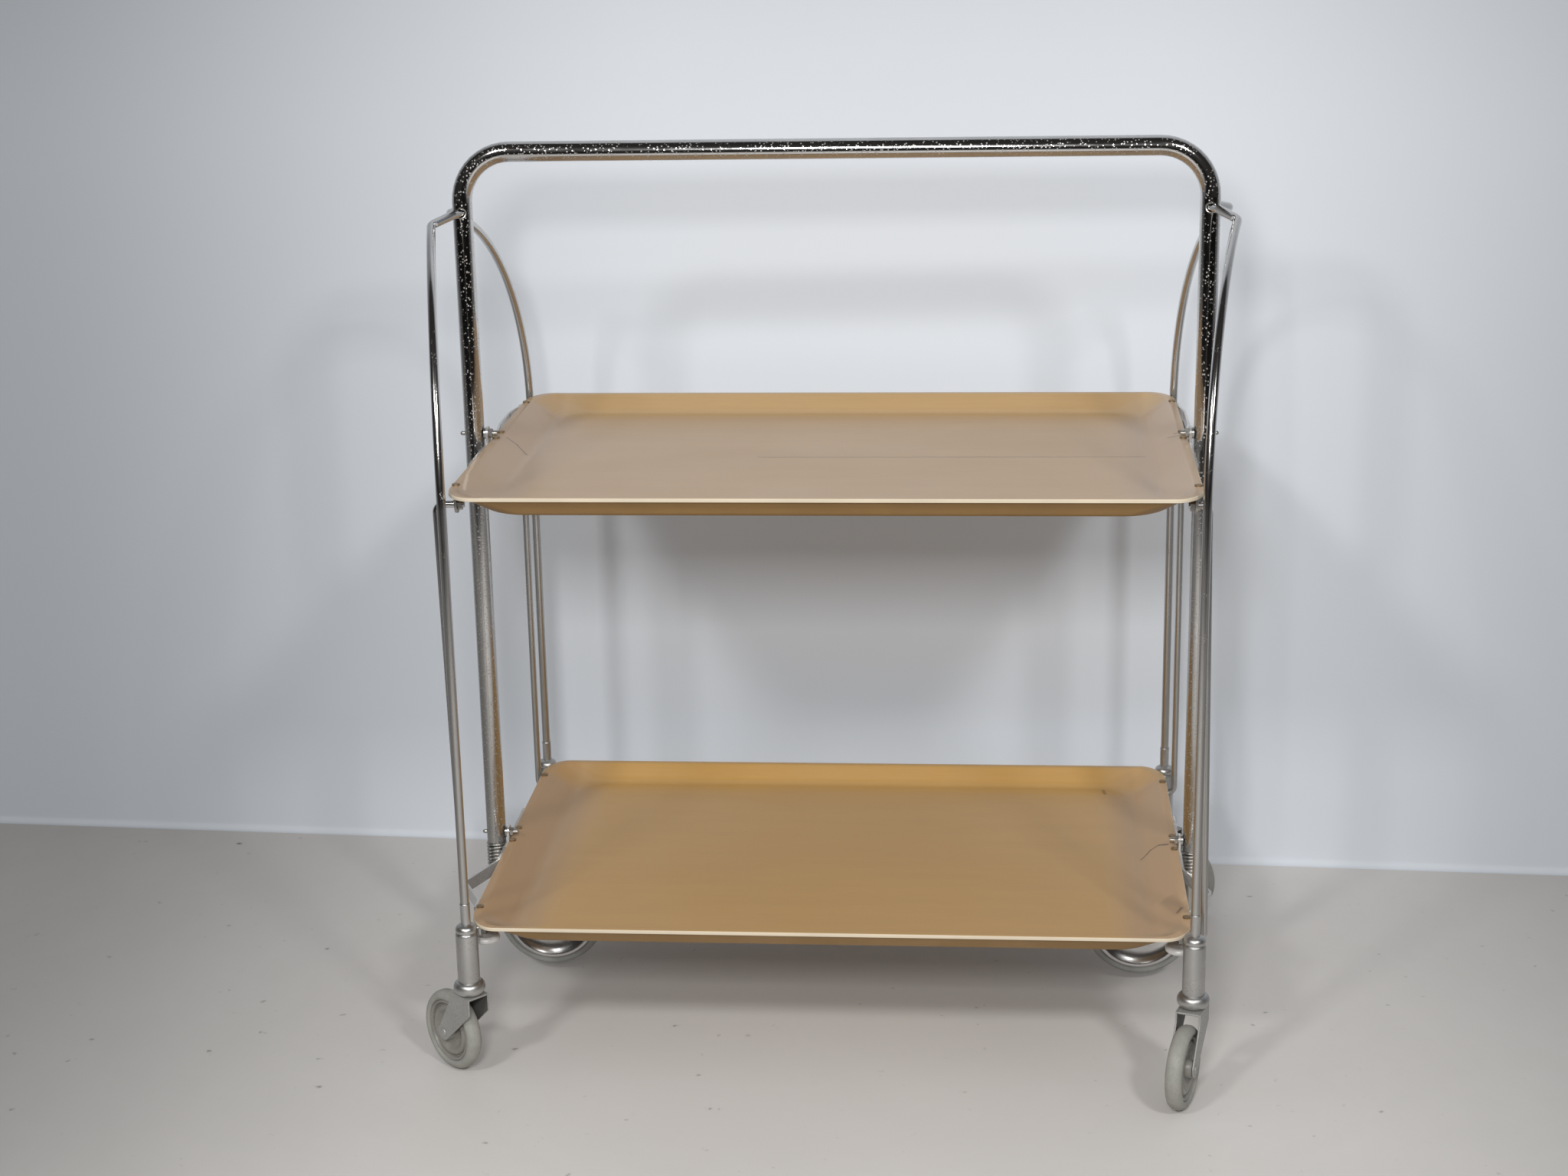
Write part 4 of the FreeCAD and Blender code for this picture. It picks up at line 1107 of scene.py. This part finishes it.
# Painted shade on the floor and backdrop, darker towards the sides, the floor's near front and the backdrop's
# top: axis, where a sheet is still pale and where it is fully faded, and the share of light left
# The floor's dark front is painted shade, which the chrome shows as a dark reflection
FLOOR_PAINTED_SHADE = (("X", -0.20, -0.85, 0.50), ("X", 0.30, 0.90, 0.56), ("Y", -0.95, -1.75, 0.02))
WALL_PAINTED_SHADE = (("X", -0.15, -0.90, 0.52), ("X", 0.25, 0.90, 0.58), ("Z", 0.70, 1.00, 0.80))
VEIN = (0.46, 0.45, 0.40)
FLECK = (0.12, 0.11, 0.10)
# How far in metres the sheets reach to each side and forward, and how far back and up
SHEET_WIDE = 6
SHEET_DEEP = 4
# Name, place, side in metres and power of each lamp, and what they all point at
LAMPS = (
    ("Key lamp", (-0.05, -2.15, 1.30), 0.30, 22),
    ("Right lamp", (1.15, -2.1, 1.95), 0.28, 20),
    ("Left lamp", (-1.10, -2.1, 1.90), 0.28, 17),
)
LAMP_AIM = (0, 0.1, 0.42)
SOFT_LIGHT = (0.96, 0.98, 1.0, 1)
SOFT_STRENGTH = 0.42
DARK_ROOM = (0.030, 0.028, 0.026, 1)
SENSOR_WIDTH = 36


def stage_material(name, colour, painted_shades, rough, scale, contrast, flecks=0.0):
    """Pale mottled surface for the floor or the backdrop, with painted shade that darkens it past some places
    along an axis.
    """
    made, tree, shader = blank(name)
    cloud = effect(tree, "Soiling", Scale=scale, Contrast=0.35)
    base = mixed(tree, cloud, darker(colour, contrast), colour)
    if flecks:
        base = veiled(tree, effect(tree, "Soiling", Scale=9.0, Contrast=0.16), base, VEIN, share=0.10)
        base = veiled(tree, effect(tree, "Pitting", Scale=70.0, Cover=0.36), base, FLECK, share=flecks)
    # Painted shade: the sheet multiplied darker past each place
    for axis, full, faded, share in painted_shades:
        base = with_painted_shading(tree, ramp(tree, coordinate(tree, axis), full, faded), base, (share, share, share))
    feed(tree, shader.inputs["Base Color"], base)
    feed(tree, shader.inputs["Roughness"], rough)
    return made


def open_from_behind(made):
    """Lets a sheet be looked through from its back."""
    tree = made.node_tree
    surface = next(node for node in tree.nodes if node.type == "OUTPUT_MATERIAL").inputs["Surface"]
    front = surface.links[0].from_socket
    back = add_node(tree, "NewGeometry").outputs["Backfacing"]
    clear = add_node(tree, "BsdfTransparent").outputs["BSDF"]
    feed(tree, surface, add_node(tree, "MixShader", {0: back, 1: front, 2: clear}).outputs["Shader"])


def add_sheet(name, rows, place, surface):
    """A wide sheet swept along X from the rows of its section."""
    data = bpy.data.meshes.new(name)
    spots = [place @ Vector((x, row.y, row.z)) for row in rows for x in (-SHEET_WIDE, SHEET_WIDE)]
    faces = [(2 * i, 2 * i + 1, 2 * i + 3, 2 * i + 2) for i in range(len(rows) - 1)]
    data.from_pydata(spots, [], faces)
    data.materials.append(surface)
    data.shade_smooth()
    item = bpy.data.objects.new(name, data)
    bpy.context.scene.collection.objects.link(item)


def add_sheets(values):
    """Pale floor and backdrop, which meet in a small cove."""
    floor = stage_material("Pale floor", values.floor_tint, FLOOR_PAINTED_SHADE, rough=0.55, scale=2.2,
                           contrast=0.90, flecks=0.8)
    wall = stage_material("Pale backdrop", values.wall_tint, WALL_PAINTED_SHADE, rough=0.8, scale=0.8, contrast=0.97)
    open_from_behind(wall)
    open_from_behind(floor)
    place = Matrix.Translation((0, values.wall_at, 0)) @ Matrix.Rotation(values.wall_turn, 4, "Z")
    front = Vector((0, -SHEET_WIDE, 0))
    add_sheet("Floor", [front, Vector((0, SHEET_DEEP, 0))], place, floor)
    section = bent_path([front, Vector((0, 0, 0)), Vector((0, 0, SHEET_DEEP))], [values.cove])
    add_sheet("Backdrop", section[1:], place, wall)


def add_softbox(name, at, side, power):
    """A square area lamp turned to the trolley."""
    lamp = bpy.data.lights.new(name, "AREA")
    lamp.shape = "RECTANGLE"
    lamp.size = lamp.size_y = side
    lamp.energy = power
    item = bpy.data.objects.new(name, lamp)
    item.location = at
    item.rotation_euler = (Vector(LAMP_AIM) - Vector(at)).to_track_quat("-Z", "Y").to_euler()
    bpy.context.scene.collection.objects.link(item)


def add_room(scene):
    """World light: soft on surfaces, and a dark room that the camera, metal and glass see alike."""
    world = bpy.data.worlds.new("Studio")
    world.use_nodes = True
    tree = world.node_tree
    tree.nodes.clear()
    path = add_node(tree, "LightPath").outputs
    soft = add_node(tree, "Background", {"Color": SOFT_LIGHT, "Strength": SOFT_STRENGTH}).outputs["Background"]
    dark = add_node(tree, "Background", {"Color": DARK_ROOM}).outputs["Background"]
    seen = calc(tree, "ADD", path["Is Camera Ray"], path["Is Glossy Ray"])
    seen = calc(tree, "ADD", seen, path["Is Transmission Ray"], clamp=True)
    room = add_node(tree, "MixShader", {0: seen, 1: soft, 2: dark}).outputs["Shader"]
    add_node(tree, "OutputWorld", {"Surface": room})
    scene.world = world


def add_camera(scene, values):
    """The camera, turned by its yaw, pitch and roll."""
    camera = bpy.data.cameras.new("Camera")
    camera.sensor_width = SENSOR_WIDTH
    camera.lens = values.lens
    level = math.cos(values.pitch)
    forward = Vector((math.sin(values.yaw) * level, math.cos(values.yaw) * level, -math.sin(values.pitch)))
    right = Vector((math.cos(values.yaw), -math.sin(values.yaw), 0))
    place = turned_to(values.camera_at, right, right.cross(forward), -forward)
    item = bpy.data.objects.new("Camera", camera)
    item.matrix_world = place @ Matrix.Rotation(values.roll, 4, "Z")
    scene.collection.objects.link(item)
    scene.camera = item


class TROLLEY_OT_stage(bpy.types.Operator):
    """Lay the floor and backdrop, set the lights and the camera"""

    bl_idname = "trolley.stage"
    bl_label = "Stage"

    def execute(self, context):
        context.scene.view_settings.view_transform = "Standard"
        add_sheets(studio())
        for lamp in LAMPS:
            add_softbox(*lamp)
        add_room(context.scene)
        add_camera(context.scene, studio())
        return {"FINISHED"}


class TROLLEY_PT_panel(bpy.types.Panel):
    """Sidebar panel that lists the trolley's steps and settings"""

    bl_idname = "TROLLEY_PT_panel"
    bl_label = "Folding Tea Trolley"
    bl_space_type = "VIEW_3D"
    bl_region_type = "UI"
    bl_category = "Tea Trolley"

    def draw(self, context):
        layout = self.layout
        for operator in OPERATORS:
            layout.operator(operator.bl_idname)
        for group_name, values in (("Sizes", sizes()), ("Finish", finish()), ("Studio", studio())):
            layout.label(text=group_name)
            for key in values.__annotations__:
                layout.prop(values, key)


OPERATORS = (TROLLEY_OT_handle, TROLLEY_OT_trays, TROLLEY_OT_legs, TROLLEY_OT_links, TROLLEY_OT_casters,
             TROLLEY_OT_big_wheels, TROLLEY_OT_stage)
CLASSES = (TrolleySizes, TrolleyFinish, TrolleyStudio, *OPERATORS, TROLLEY_PT_panel)


def register():
    for item in CLASSES:
        bpy.utils.register_class(item)
    bpy.types.Scene.trolley_sizes = bpy.props.PointerProperty(type=TrolleySizes)
    bpy.types.Scene.trolley_finish = bpy.props.PointerProperty(type=TrolleyFinish)
    bpy.types.Scene.trolley_studio = bpy.props.PointerProperty(type=TrolleyStudio)


def unregister():
    del bpy.types.Scene.trolley_studio
    del bpy.types.Scene.trolley_finish
    del bpy.types.Scene.trolley_sizes
    for item in reversed(CLASSES):
        bpy.utils.unregister_class(item)


def main():
    register()
    bpy.ops.trolley.handle()
    bpy.ops.trolley.trays()
    bpy.ops.trolley.legs()
    bpy.ops.trolley.links()
    bpy.ops.trolley.casters()
    bpy.ops.trolley.big_wheels()
    bpy.ops.trolley.stage()


if __name__ == "__main__":
    main()
